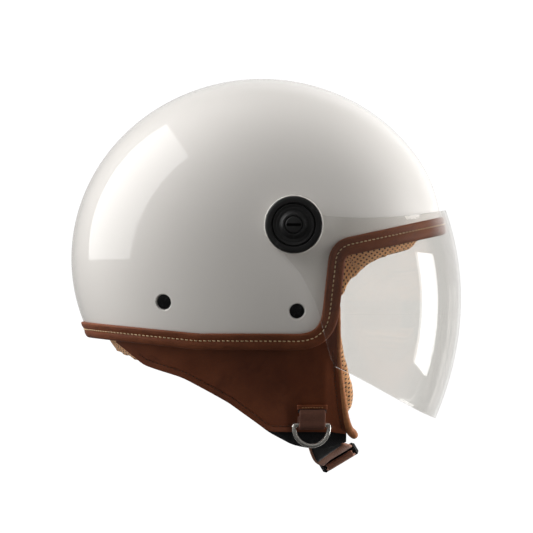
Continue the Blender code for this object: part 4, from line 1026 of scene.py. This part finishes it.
def make_flap_lining(side, word, front):
    line = front + (0.0016, 0) * (front[:, 1:] < -0.110)
    flat = front_curtain(LINING_TOP, LINING_EDGE, 110, 44, line, 0.0017)
    f, h = flat[..., 0], flat[..., 1]
    slack = 0.0004 * np.sin(f * 210) * np.sin(h * 160) * smoothstep((-0.09 - h) / 0.02)
    points = place(eased(wall_point(side, f, h, LINING_DEPTH + slack)))
    lining = face_away(grid_object(f"flap_lining_cloth_{word}", points))
    thicken(lining, FLAP_LINING, 0.0003)
    dress(lining, BLACK_KNIT, "helmet", [f"flap_lining_{word}"])


def make_flap(side, word):
    roll = smooth_line(ROLL_LINE, 240)
    front = roll[roll[:, 1] > -0.1240]
    hem = resample(rounded(FLAP_EDGE), 300)
    seam = beside(front, -0.0048)
    make_flap_leather(side, word, front, hem, seam)
    make_flap_lining(side, word, front)

    line = resample(roll, 110)
    share = np.linspace(0, 1, 110)
    radii = np.interp(-line[:, 1], ROLL_AT, ROLL_RADII)
    radii *= 1 + 0.012 * np.sin(share * 160) + 0.01 * np.sin(share * 67)
    depth = FLAP_DEPTH + FLAP_LEATHER - 0.0004 - (radii - PIPING_RADIUS) * 0.8
    path = place(wall_point(side, line[:, 0], line[:, 1], depth))
    piping = tube(f"flap_piping_roll_{word}", path, radii, np.array((side, 0.0, 0.0)), 20)
    dress(piping, PIPING_LEATHER, "helmet", [f"flap_piping_{word}"])

    lower = wall_line(side, seam[seam[:, 1] < -0.068])
    sew(f"flap_front_stitching_{word}", *lower, BROWN_THREAD, (0.0027, 0.0019, 0.0003))
    line = beside(hem, -HEM_SEAM)
    lower = wall_line(side, line[(line[:, 1] < -0.070) & (line[:, 0] < 0.054)])
    sew(f"flap_hem_stitching_{word}", *lower, BROWN_THREAD, (0.0030, 0.0021, 0.0003))


# ---------------------------------------------------------------- pads, swelled by cloth simulation
def metres_uv(obj, flat):
    """Gives every corner a (u, v) in metres. flat turns points of the frame into (u, v)."""
    mesh = obj.data
    corner = flat(points_of(mesh).astype(float))[corners_of(mesh)]
    starts = np.array([p.loop_start for p in mesh.polygons])
    sizes = np.array([p.loop_total for p in mesh.polygons])
    first = np.repeat(corner[starts], sizes, axis=0)
    corner[:, 0] -= np.round((corner[:, 0] - first[:, 0]) / ROUND_HEAD) * ROUND_HEAD
    layer = mesh.uv_layers.get("metres") or mesh.uv_layers.new(name="metres")
    layer.data.foreach_set("uv", corner.astype(np.float32).ravel())


ROUND_HEAD = HOLE_PITCH * 120  # a whole number of the mesh's holes goes round the head


def round_head(points):
    """Unrolls the inside of the helmet: distance round the head, and down it."""
    turn = np.arctan2(points[:, 0], -points[:, 1]) / (2 * math.pi)
    return np.stack([turn * ROUND_HEAD, points[:, 2] + 0.35 * np.hypot(points[:, 0], points[:, 1])], -1)


def side_on(points):
    return np.stack([-points[:, 1], points[:, 2] + 0.6 * np.abs(points[:, 0])], -1)


def from_above(points):
    return points[:, :2].copy()


def pad_form(node):
    """A copy of a CAD pad to swell."""
    obj = new_object(f"{node}_mesh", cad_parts[node].data.copy())
    obj.data.materials.clear()
    return obj


def beside_rim(points):
    """Lays the fabric out from the shell's rim: distance along the rim, and distance from it."""
    rim = place(loop_round(on_skin(SHELL_RIM, BROW_DEPTH, 161)))
    along = lengths_along(rim, True)[:-1]
    ahead = unit(np.roll(rim, -1, 0) - np.roll(rim, 1, 0))
    uv = []
    for some in np.array_split(points, max(len(points) // 2000, 1)):
        gaps = np.linalg.norm(some[:, None] - rim, axis=-1)
        nearest = np.argmin(gaps, 1)
        past = np.sum((some - rim[nearest]) * ahead[nearest], 1)
        uv.append(np.stack([along[nearest] + past, gaps.min(1)], -1))
    return np.concatenate(uv)


def brow_form():
    """The padded lip under the foam's front edge, from temple to temple."""
    top, edge = (on_skin(line, BROW_DEPTH, 70) for line in (BROW_TOP, BROW_EDGE))
    rows = []
    for t in np.linspace(0, 1, 9):
        half = skin_along(slerp(unit(top), unit(edge), t), BROW_DEPTH)
        rows.append(np.vstack([(half[1:] * (-1, 1, 1))[::-1], half]))
    return thicken(face_away(grid_object("brow_pad_mesh", place(rows))), BROW_WALL)


PADS_MIDDLE, SWELL_FRAMES = np.array((0.0, 0.0, -0.10)), 20


def ready_to_swell(obj, voxel):
    """Remeshes a pad evenly, and holds it where it lies on the foam or the flap."""
    remesh = obj.modifiers.new("Remesh", "REMESH")
    remesh.mode, remesh.voxel_size = "VOXEL", voxel
    ease = obj.modifiers.new("Ease", "SMOOTH")
    ease.factor, ease.iterations = 0.5, 4
    applied(obj)
    normals = np.array([v.normal for v in obj.data.vertices])
    upright = 1 if "crown" in obj.name else 0.15
    outward = unit((points_of(obj.data) - PADS_MIDDLE) * (1, 1, upright))
    held = np.nonzero(np.sum(normals * outward, 1) > 0.45)[0]
    obj.vertex_groups.new(name="held").add(held.tolist(), 1.0, "REPLACE")


def swell(pads):
    """Lets the pads swell as cloth, with no point moving further than its pad's limit."""
    for obj, _ in pads:
        cloth = obj.modifiers.new("Cloth", "CLOTH")
        cloth.settings.use_pressure, cloth.settings.uniform_pressure_force = True, 4.0
        cloth.settings.effector_weights.gravity = 0
        cloth.settings.vertex_group_mass = "held"
        cloth.settings.shrink_min = -0.04
        cloth.settings.quality = 5
        cloth.collision_settings.use_collision = False
        cloth.point_cache.frame_start, cloth.point_cache.frame_end = 1, SWELL_FRAMES
    for number in range(1, SWELL_FRAMES + 1):
        bpy.context.scene.frame_set(number)
    graph = bpy.context.evaluated_depsgraph_get()
    for obj, limit in pads:
        before = points_of(obj.data)
        move = points_of(obj.evaluated_get(graph).data) - before
        size = np.linalg.norm(move, axis=1, keepdims=True)
        after = before + move * np.minimum(1, limit / np.maximum(size, 1e-9))
        obj.modifiers.clear()
        obj.data.vertices.foreach_set("co", after.astype(np.float32).ravel())
        obj.data.update()
    bpy.context.scene.frame_set(1)


BROW_DEPTH, BROW_WALL = 0.0068, 0.0180
BROW_TOP = [(FRONT, 0.0262, 0), (0.0560, 0.0055, 0.010), (0.0525, -0.0300, 0)]
BROW_EDGE = [
    (FRONT, 0.0235, 0), (0.1165, 0.0120, 0.004), (0.1125, 0.0060, 0.006), (0.0930, 0.0006, 0.040),
    (0.0780, -0.0070, 0.030), (0.0650, -0.0190, 0.015), (0.0612, -0.0300, 0),
]
CHEEK_OUTLINE = [
    (0.0560, -0.0420), (0.0592, -0.0600), (0.0638, -0.0795), (0.0678, -0.0940), (0.0686, -0.1030),
    (0.0665, -0.1110), (0.0600, -0.1170), (0.0380, -0.1190), (0.0150, -0.1120), (0.0060, -0.0900),
    (0.0040, -0.0600), (0.0110, -0.0430), (0.0320, -0.0385),
]
CHEEK_WALL = 0.0140
CHEEK_SECTION = [  # share of the outline's size, and of the cushion's depth
    (0.02, 0), (0.5, 0), (0.96, 0), (1.0, 0.12), (1.01, 0.5), (0.97, 0.8), (0.86, 0.97), (0.5, 1.1),
    (0.02, 1.14),
]


def cheek_form(side, word):
    """A blunt cushion behind the flap, fuller towards its middle."""
    looped = [(f, h, 0.010) for f, h in CHEEK_OUTLINE]
    outline = resample(rounded(looped, closed=True), 80, closed=True)
    middle = outline.mean(0)
    rows = []
    for scale, depth in CHEEK_SECTION:
        p = middle + (outline - middle) * scale
        x = wall_x(p[:, 0], p[:, 1]) - (CHEEK_DEPTH - FLAP_DEPTH) - CHEEK_WALL * depth
        rows.append(np.stack([side * x, p[:, 0], p[:, 1]], -1))
    return grid_object(f"cheek_pad_mesh_{word}", place(rows), (False, True), caps=True)


def make_pads():
    """The mesh pads. Each is remeshed at its voxel size, and swells by its limit at most."""
    pads = [
        (pad_form("crown_pad"), "crown_pad", 0.0035, 0.003, from_above, 0.7),
        (pad_form("headband"), "headband", 0.0035, 0.0025, round_head, 0.7),
        (pad_form("nape_pad"), "nape_pad", 0.0035, 0.002, round_head, 0.7),
        (brow_form(), "brow_pad", 0.0028, 0.0018, beside_rim, 0.7),
    ]
    pads += [(cheek_form(*side), f"cheek_pad_{side[1]}", 0.0035, 0.004, side_on, 0.8) for side in SIDES]
    for pad, node, voxel, limit, flat, fill in pads:
        ready_to_swell(pad, voxel)
    swell([(pad, limit) for pad, node, voxel, limit, flat, fill in pads])
    for pad, node, voxel, limit, flat, fill in pads:
        pad.modifiers.new("Fine", "SUBSURF").levels = 1
        applied(pad)
        dress(pad, SPACER_MESH, "helmet", [node])
        metres_uv(pad, flat)


# ---------------------------------------------------------------- pivots, rivets and D-rings
COVER_PROFILE = [  # radius, and height over the visor's ear
    (BUSH_RADIUS + 0.0003, 0), (COVER_RADIUS, 0), (COVER_RADIUS, 0.0020), (0.0203, 0.0031),
    (0.0190, 0.0036), (0.0162, 0.0037), (0.0159, 0.0018), (0.0152, 0.0018), (0.0149, 0.0034),
    (0.0128, 0.0027), (0.0122, 0.0029), (0.0104, 0.0026), (0.0082, 0.0052), (0.0067, 0.0055),
    (0.0067, 0.0014), (BUSH_RADIUS + 0.0003, 0.0012),
]
SCREW_TOP, SLOT = 0.0062, (0.0020, 0.0108, 0.0080)


def make_pivot(side, word):
    """The dished cap over the visor's ear, and the screw with its coin slot."""
    seat = pivot_matrix(side)
    foot = VISOR_X + VISOR_WALL + 0.0003
    profile = rounded_profile([(r, foot + z) for r, z in COVER_PROFILE])
    cover = turned(f"pivot_cover_dished_{word}", profile, seat, 128)
    dress(cover, BLACK_PLASTIC, "helmet", [f"pivot_cover_{word}"])
    tail = HALF_WIDTH - 0.0160
    profile = [(0, tail), (0.0030, tail), (0.0030, foot + 0.0016), (0.0063, foot + 0.0016)]
    profile += [(0.0063, foot + 0.0048), (0.0055, foot + 0.0057), (0, foot + 0.0060)]
    screw = turned(f"pivot_screw_slotted_{word}", rounded_profile(profile, 0.0003), seat, 64)
    work = bmesh.new()
    bmesh.ops.create_cube(work, size=1.0)
    bmesh.ops.scale(work, vec=SLOT, verts=work.verts)
    bmesh.ops.bevel(work, geom=work.edges[:], offset=0.0003, segments=2, affect="EDGES")
    work.transform(seat @ Matrix.Translation((0, 0, foot + SCREW_TOP)))
    cut(screw, new_object("slot", mesh_from(work, "slot")))
    screw.data.set_sharp_from_angle(angle=math.radians(40))
    screw.data.materials.clear()
    screw.data.materials.append(SCREW_BLACK)
    screw.data.materials.append(SLOT_SHADE_BLACK)
    # the faces sunk in the coin slot take the second, darker black: painted shade in the slot
    to_seat = seat.inverted()
    for face in screw.data.polygons:
        x, y, out = to_seat @ face.center
        sunk = foot < out < foot + SCREW_TOP - 0.0006
        face.material_index = int(sunk and abs(x) < SLOT[0] / 2 + 0.0001 and abs(y) < SLOT[1] / 2 + 0.0001)
    dress(screw, SCREW_BLACK, f"screw_{word}", [f"pivot_screw_{word}"])


def make_rivet(side, word, which):
    tail, rim = -SHELL_WALL - 0.0033, RIVET_HEAD
    corners = [(0, -0.0008), (0.0030, -0.0009), (rim - 0.0005, -0.0011), (rim, -0.0015), (rim, -0.0021)]
    corners += [(0.0027, -0.0022), (0.0027, tail), (0.0042, tail), (0.0036, tail - 0.0010)]
    profile = rounded_profile([*corners, (0, tail - 0.0012)], 0.0003)
    rivet = turned(f"rivet_{which}_{word}", profile, rivet_matrix(side, which), 64)
    dress(rivet, GLOSS_BLACK, "helmet", [f"strap_rivet_{which}_{word}"])


def ring_matrix(side):
    """Origin in the middle of the ring's bar. x axis out of the flap, level; y axis forward along the bar."""
    f, h = RING_AT
    n = wall_normal(np.array(f), np.array(h))
    origin = place(wall_point(side, f, h, FLAP_DEPTH - (TAB_LEATHER + RING_WIRE + 0.0016)))
    out = Vector((side * n[0], -n[1], 0)).normalized()
    ahead = Vector((side * n[1], n[0], 0)).normalized()
    if ahead.y > 0:
        ahead.negate()
    return Matrix.Translation(Vector(origin)) @ Matrix((out, ahead, Vector((0, 0, 1)))).transposed().to_4x4()


def moved(matrix, points):
    m = np.array(matrix)
    return np.asarray(points, float) @ m[:3, :3].T + m[:3, 3]


TAB_STRIPS = [  # name, material, lower and upper end, and width
    # the first strip is black knit laid where the tab's opening lies in shade: painted shade
    ("slit_shade", BLACK_KNIT, 0.0088, 0.0116, 0.0212),
    ("stay", FLAP_LEATHER_PAINT, 0.0112, 0.0146, 0.0226),
]


def make_d_ring(side, word):
    """The ring, its leather tab, and the stay and opening from which the tab comes out of the flap; the
    opening is a black strip of painted shade.
    """
    seat = ring_matrix(side)
    out, along = (np.array(seat.col[k][:3]) for k in (0, 1))
    half = RING_HALF_WIDTH
    corners = [(-half, 0, 0.0022), (half, 0, 0.0022), (half, -RING_ARM, 0.0)]
    for a in np.linspace(0, math.pi, 30)[1:-1]:
        corners.append((half * math.cos(a), -RING_ARM - half * math.sin(a), 0))
    corners += [(-half, -RING_ARM, 0)]
    outline = resample(rounded(corners, closed=True), 96, closed=True)
    path = moved(seat, np.column_stack([np.zeros(len(outline)), outline]))
    ring = tube(f"d_ring_nickel_{word}", path, RING_WIRE, out, 18, closed=True)
    dress(ring, NICKEL, f"ring_{word}", [f"d_ring_{word}"])

    def strip(name, line, width, thickness, paint):
        line = np.asarray(line, float)
        path = moved(seat, np.column_stack([line[:, 0], np.zeros(len(line)), line[:, 1]]))
        piece = band(name, path, np.broadcast_to(along * width / 2, path.shape), thickness)
        dress(piece, paint, "helmet", [f"d_ring_tab_{word}"])

    wrap = RING_WIRE + 0.0005 + TAB_LEATHER / 2
    near = -wrap + TAB_LEATHER + 0.0005
    loop = [(near + 0.0026, 0.0140), (near + 0.0028, 0.0126), (0.6 * wrap + 0.0016, 0.0078), (wrap, 0.0030)]
    loop += [(wrap * math.cos(a), wrap * math.sin(a)) for a in np.linspace(0, -math.pi, 9)]
    loop += [(-wrap + 0.0004, 0.0030), (-wrap + 0.0012, 0.0060)]
    strip(f"d_ring_tab_leather_{word}", smooth_line(loop, 70), TAB_WIDTH, TAB_LEATHER, TAB_LEATHER_PAINT)
    for what, paint, low, high, width in TAB_STRIPS:
        line = [(near + 0.0034, z) for z in np.linspace(low, high, 6)]
        strip(f"d_ring_tab_{what}_{word}", line, width, 0.0012, paint)
    row = moved(seat, [(near + 0.0041, y, 0.0126) for y in np.linspace(-0.0082, 0.0082, 12)])
    normals = np.broadcast_to(out, row.shape)
    sew(f"d_ring_tab_stitching_{word}", row, normals, TAN_THREAD, (0.0021, 0.0018, 0.00040))



# ---------------------------------------------------------------- webbing and buckle
def tilted(angle):
    return np.array((0.0, -math.cos(angle), math.sin(angle)))


def buckle_matrix():
    """x axis across the chin to the wearer's left, y axis along the webbing's width, z axis out (down)."""
    width = tilted(STRAP_TILT)
    out = np.cross((1, 0, 0), width)
    if out[2] > 0:
        width, out = -width, -out
    turn = Matrix(((1, 0, 0), width.tolist(), out.tolist())).transposed()
    return Matrix.Translation(Vector(place(BUCKLE_AT))) @ turn.to_4x4()


def lying(side, line, half_width, depths):
    """A strip's middle line and half-width vectors, lying on the wall along a side-view line."""
    ahead = unit(np.gradient(line, axis=0))
    square = np.stack([-ahead[:, 1], ahead[:, 0]], -1) * half_width
    a = place(wall_point(side, *(line + square).T, depths))
    b = place(wall_point(side, *(line - square).T, depths))
    return (a + b) / 2, (a - b) / 2


STRAP_LINE = [(0.0290, -0.0440), (0.0315, -0.0560), (0.0345, -0.0760), (0.0400, -0.1000), (0.0455, -0.1190)]
STRAP_TURN = (0.0485, -0.1320)  # (f, h) where the front webbing turns in under the chin
STRAP_ACROSS = tilted(STRAP_TILT) * WEBBING_WIDTH / 2
SHADE_BAND_SHARE = 0.86  # of the webbing's width


def strap_path(side, last):
    """The front webbing, from its hanger down behind the lining and in under the chin."""
    depths = STRAP_DEPTH + WEBBING / 2 - 0.0026 * np.maximum(1 - np.arange(31) / 6, 0)
    path, across = lying(side, smooth_line(STRAP_LINE, 31), WEBBING_WIDTH / 2, depths)
    end = moved(buckle_matrix(), last)
    turn_in = place(wall_point(side, *STRAP_TURN, STRAP_DEPTH + 0.0034))
    under = turn_in + (end - turn_in) * 0.42 + (0, 0, -0.0062)
    near = end + (side * 0.0080, 0, 0.0002)
    shares = np.linspace(4 / 15, 1, 40)
    free = resample(smooth_line([path[-4], path[-1], turn_in, under, near, end], 400), 0, at=shares)
    across = across * np.sign(across @ STRAP_ACROSS)[:, None]
    t = (np.minimum((shares * 15 - 4) / 9, 1) ** 1.5)[:, None]
    width = across[-1] * (1 - t) + STRAP_ACROSS * t
    ahead = unit(np.gradient(free, axis=0))
    width = unit(width - ahead * np.sum(width * ahead, 1, keepdims=True)) * WEBBING_WIDTH / 2
    path, across = np.vstack([path, free]), np.vstack([across, width])
    at = np.linspace(0, 1, 90)
    steps = lengths_along(path, False)
    across = np.stack([np.interp(at * steps[-1], steps, across[:, k]) for k in range(3)], -1)
    return resample(path, 0, at=at), across


def make_right_strap():
    """The webbing goes round the buckle's bar and ends in a folded hem. A black knit band along its outer
    face is painted shade.
    """
    wrap = BAR_RADIUS + 0.0005 + WEBBING / 2
    bar = -BUCKLE_LENGTH / 2 + 0.0042
    path, across = strap_path(-1, (bar - 0.0050, 0, -wrap))
    shade_band_path, shade_band_across = path[52:-12], across[52:-12]
    round_bar = np.linspace(-math.pi / 2, math.pi / 2, 15)
    turn = [(bar + wrap * math.cos(a), 0, wrap * math.sin(a)) for a in round_bar]
    turn += [(bar - 0.0040, 0, wrap + 0.0001), (bar - 0.0070, 0, wrap + 0.0004)]
    hem, top = 0.0017, wrap + 0.0005
    for a in np.linspace(math.pi / 2, -math.pi / 2, 11):
        turn.append((bar - 0.0085 - hem * math.cos(a), 0, top - hem * (1 - math.sin(a))))
    turn += [(bar - back, 0, top - 2 * hem) for back in (0.0062, 0.0042)]
    narrowing = np.interp(np.arange(len(turn)), (14, 17), (1.0, SHADE_BAND_SHARE))[:, None]
    path = np.vstack([path, moved(buckle_matrix(), turn)])
    across = np.vstack([across, STRAP_ACROSS * narrowing])
    # the black band stands for the shade on the webbing's outer face: painted shade
    out = unit(np.cross(unit(np.gradient(shade_band_path, axis=0)), shade_band_across))
    out *= np.sign(out @ (-1, 0, -0.5))[:, None]
    shade_band_path = shade_band_path + out * (WEBBING / 2 + 0.0002)
    shade_band = band("chin_strap_backing_right", shade_band_path, shade_band_across * SHADE_BAND_SHARE, 0.0010)
    dress(shade_band, BLACK_KNIT, "helmet", ["chin_strap_right"])
    webbing = band("chin_strap_webbing_right", path, across, WEBBING)
    dress(webbing, WEBBING_WEAVE, "helmet", ["chin_strap_right"])


def make_left_strap():
    """The webbing ends on the tongue."""
    path, across = strap_path(1, (BUCKLE_LENGTH / 2 + 0.0214, 0, TONGUE_LEVEL))
    webbing = band("chin_strap_webbing_left", path, across, WEBBING)
    webbing.data.materials.append(WEBBING_WEAVE)
    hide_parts("chin_strap_left")
    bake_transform(webbing)


def make_rear_strap(side, word):
    """The rear leg of the Y, from its hanger to the front webbing behind the lining."""
    line = smooth_line([(-0.0640, -0.0390), (-0.0400, -0.0560), (-0.0100, -0.0730), (0.0160, -0.0860)], 40)
    depths = STRAP_DEPTH + WEBBING / 2 - 0.0022 * np.maximum(1 - np.arange(40) / 5, 0)
    path, across = lying(side, line, 0.0090, depths)
    webbing = band(f"rear_strap_webbing_{word}", path, across, WEBBING)
    dress(webbing, WEBBING_WEAVE, "helmet", [f"rear_strap_{word}"])


# ---------------------------------------------------------------- CAD nodes whose shape is right
def repaint(node, paint, bevel=0.0, smooth_angle=35):
    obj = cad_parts[node]
    obj.data.materials.clear()
    obj.data.materials.append(paint)
    obj.data.set_sharp_from_angle(angle=math.radians(smooth_angle))
    if bevel:
        edge = obj.modifiers.new("Edge", "BEVEL")
        edge.width, edge.segments, edge.limit_method = bevel, 3, "ANGLE"
        edge.angle_limit, edge.harden_normals = math.radians(40), True


def repaint_nodes():
    for node, bevel in (("buckle_housing", 0.0005), ("buckle_lever", 0.0003), ("ratchet_tongue", 0.0002)):
        repaint(node, BLACK_PLASTIC, bevel)
    repaint("lever_pin", NICKEL, 0.0002)
    repaint("lever_spring", NICKEL)
    for _, word in SIDES:
        repaint(f"pivot_bush_{word}", GLOSS_BLACK)
        repaint(f"friction_washer_{word}", BLACK_PLASTIC)
        repaint(f"pivot_nut_{word}", NICKEL, 0.0003)
        for which in RIVETS:
            repaint(f"strap_hanger_{which}_{word}", NICKEL, 0.0003)


# ---------------------------------------------------------------- studio
def softbox(name, location, size, radiance, gloss_only):
    """A rectangular light. radiance is how bright it looks. It lights mirrors alone, or all else."""
    light = bpy.data.lights.new(name, "AREA")
    light.shape, light.size, light.size_y = "RECTANGLE", *size
    light.energy = radiance * size[0] * size[1] * math.pi
    obj = new_object(name, light)
    obj.location = location
    obj.rotation_euler = (Vector(LIT_POINT) - obj.location).to_track_quat("-Z", "Y").to_euler()
    obj.visible_camera = False
    obj.visible_glossy, obj.visible_diffuse = gloss_only, not gloss_only


def make_world(scene):
    """Light from all round: strong past the helmet's far side, less so at the rear, and weak elsewhere."""
    world = bpy.data.worlds.new("studio")
    scene.world = world
    world.use_nodes = True
    p = Nodes(world.node_tree)
    p.tree.nodes.clear()
    x, y, z = p.split(p.node("ShaderNodeTexCoord").outputs["Generated"])
    around = p.times(p.ramp(z, -0.5, 0.5, WORLD_LOW, 1.0), WORLD_FRONT)
    back = p.times(p.ramp(x, *WORLD_BACK_SPAN, smooth=True), p.ramp(y, -0.25, 0.35, WORLD_BACK, WORLD_REAR))
    lit = p.shader("Background", Color=(1.0, 0.985, 0.965, 1), Strength=p.plus(back, around))
    seen = p.shader("Background", Color=(1, 1, 1, 1), Strength=1.05)
    out = p.node("ShaderNodeOutputWorld")
    p.tree.links.new(p.blend(p.ray("Is Camera Ray"), lit, seen), out.inputs[0])


def make_floor():
    """A pale floor that shows white to the camera and throws back only a little light."""
    work = bmesh.new()
    bmesh.ops.create_grid(work, x_segments=24, y_segments=24, size=40)
    floor = new_object("studio_floor", mesh_from(work, "studio_floor"))
    floor.visible_glossy = False
    floor.location.z = cad_box[0].z - 0.0008
    p = Paint("pale_floor")
    p.set(Base_Color=p.tones(p.noise(3, 3), (0.20, 0.197, 0.190), (0.24, 0.237, 0.230)), Roughness=0.8)
    matt = p.principled.outputs[0]
    bright = p.blend(0.9, matt, p.shader("Emission", Color=(1, 1, 1, 1), Strength=FLOOR_GLOW))
    floor.data.materials.append(p.end(p.blend(p.ray("Is Camera Ray"), matt, bright)))


def make_camera(scene):
    camera = bpy.data.cameras.new("camera")
    camera.sensor_width = 36
    camera.lens = camera.sensor_width * CAMERA_DISTANCE / VIEW_WIDTH
    camera.clip_end = 100
    scene.camera = new_object("camera", camera)
    scene.camera.location = (-CAMERA_DISTANCE, *VIEW_MIDDLE)
    scene.camera.rotation_euler = (math.radians(90), 0, math.radians(-90))


def make_studio():
    scene = bpy.context.scene
    scene.view_settings.view_transform = "Standard"
    make_world(scene)
    for light in STUDIO_LIGHTS:
        softbox(*light)
    make_floor()
    make_camera(scene)


WORLD_FRONT, WORLD_BACK, WORLD_REAR, WORLD_LOW = 0.16, 0.92, 0.22, 0.10
WORLD_BACK_SPAN = (0.50, 0.97)
LIT_POINT = (0, 0, -0.07)
STUDIO_LIGHTS = [  # name, place, size, radiance, and whether only mirrors see it
    ("rear_gloss", (0.0, 1.06, 0.49), (1.30, 1.34), 2.5, True),
    ("front_gloss", (0.36, -1.265, -0.22), (0.42, 0.58), 6.0, True),
    ("rear_fill", (-0.24, 1.19, 0.56), (1.50, 1.54), 3.1, False),
    ("front_fill", (0.2, -1.20, 0.0), (1.0, 1.0), 7.8, False),
    ("top_fill", (0.25, 0.0, 1.5), (1.2, 1.2), 2.5, False),
]
FLOOR_GLOW = 1.15
CAMERA_DISTANCE, VIEW_WIDTH, VIEW_MIDDLE = 12.0, 0.390, (-0.00485, -0.0969)


make_studio()
make_shell()
make_foam()
make_visor()
make_trim()
make_pads()
make_right_strap()
make_left_strap()
for side_sign, side_word in SIDES:
    make_rear_strap(side_sign, side_word)
for side_sign, side_word in SIDES:
    make_flap(side_sign, side_word)
    make_pivot(side_sign, side_word)
    make_d_ring(side_sign, side_word)
    for rivet in RIVETS:
        make_rivet(side_sign, side_word, rivet)
repaint_nodes()
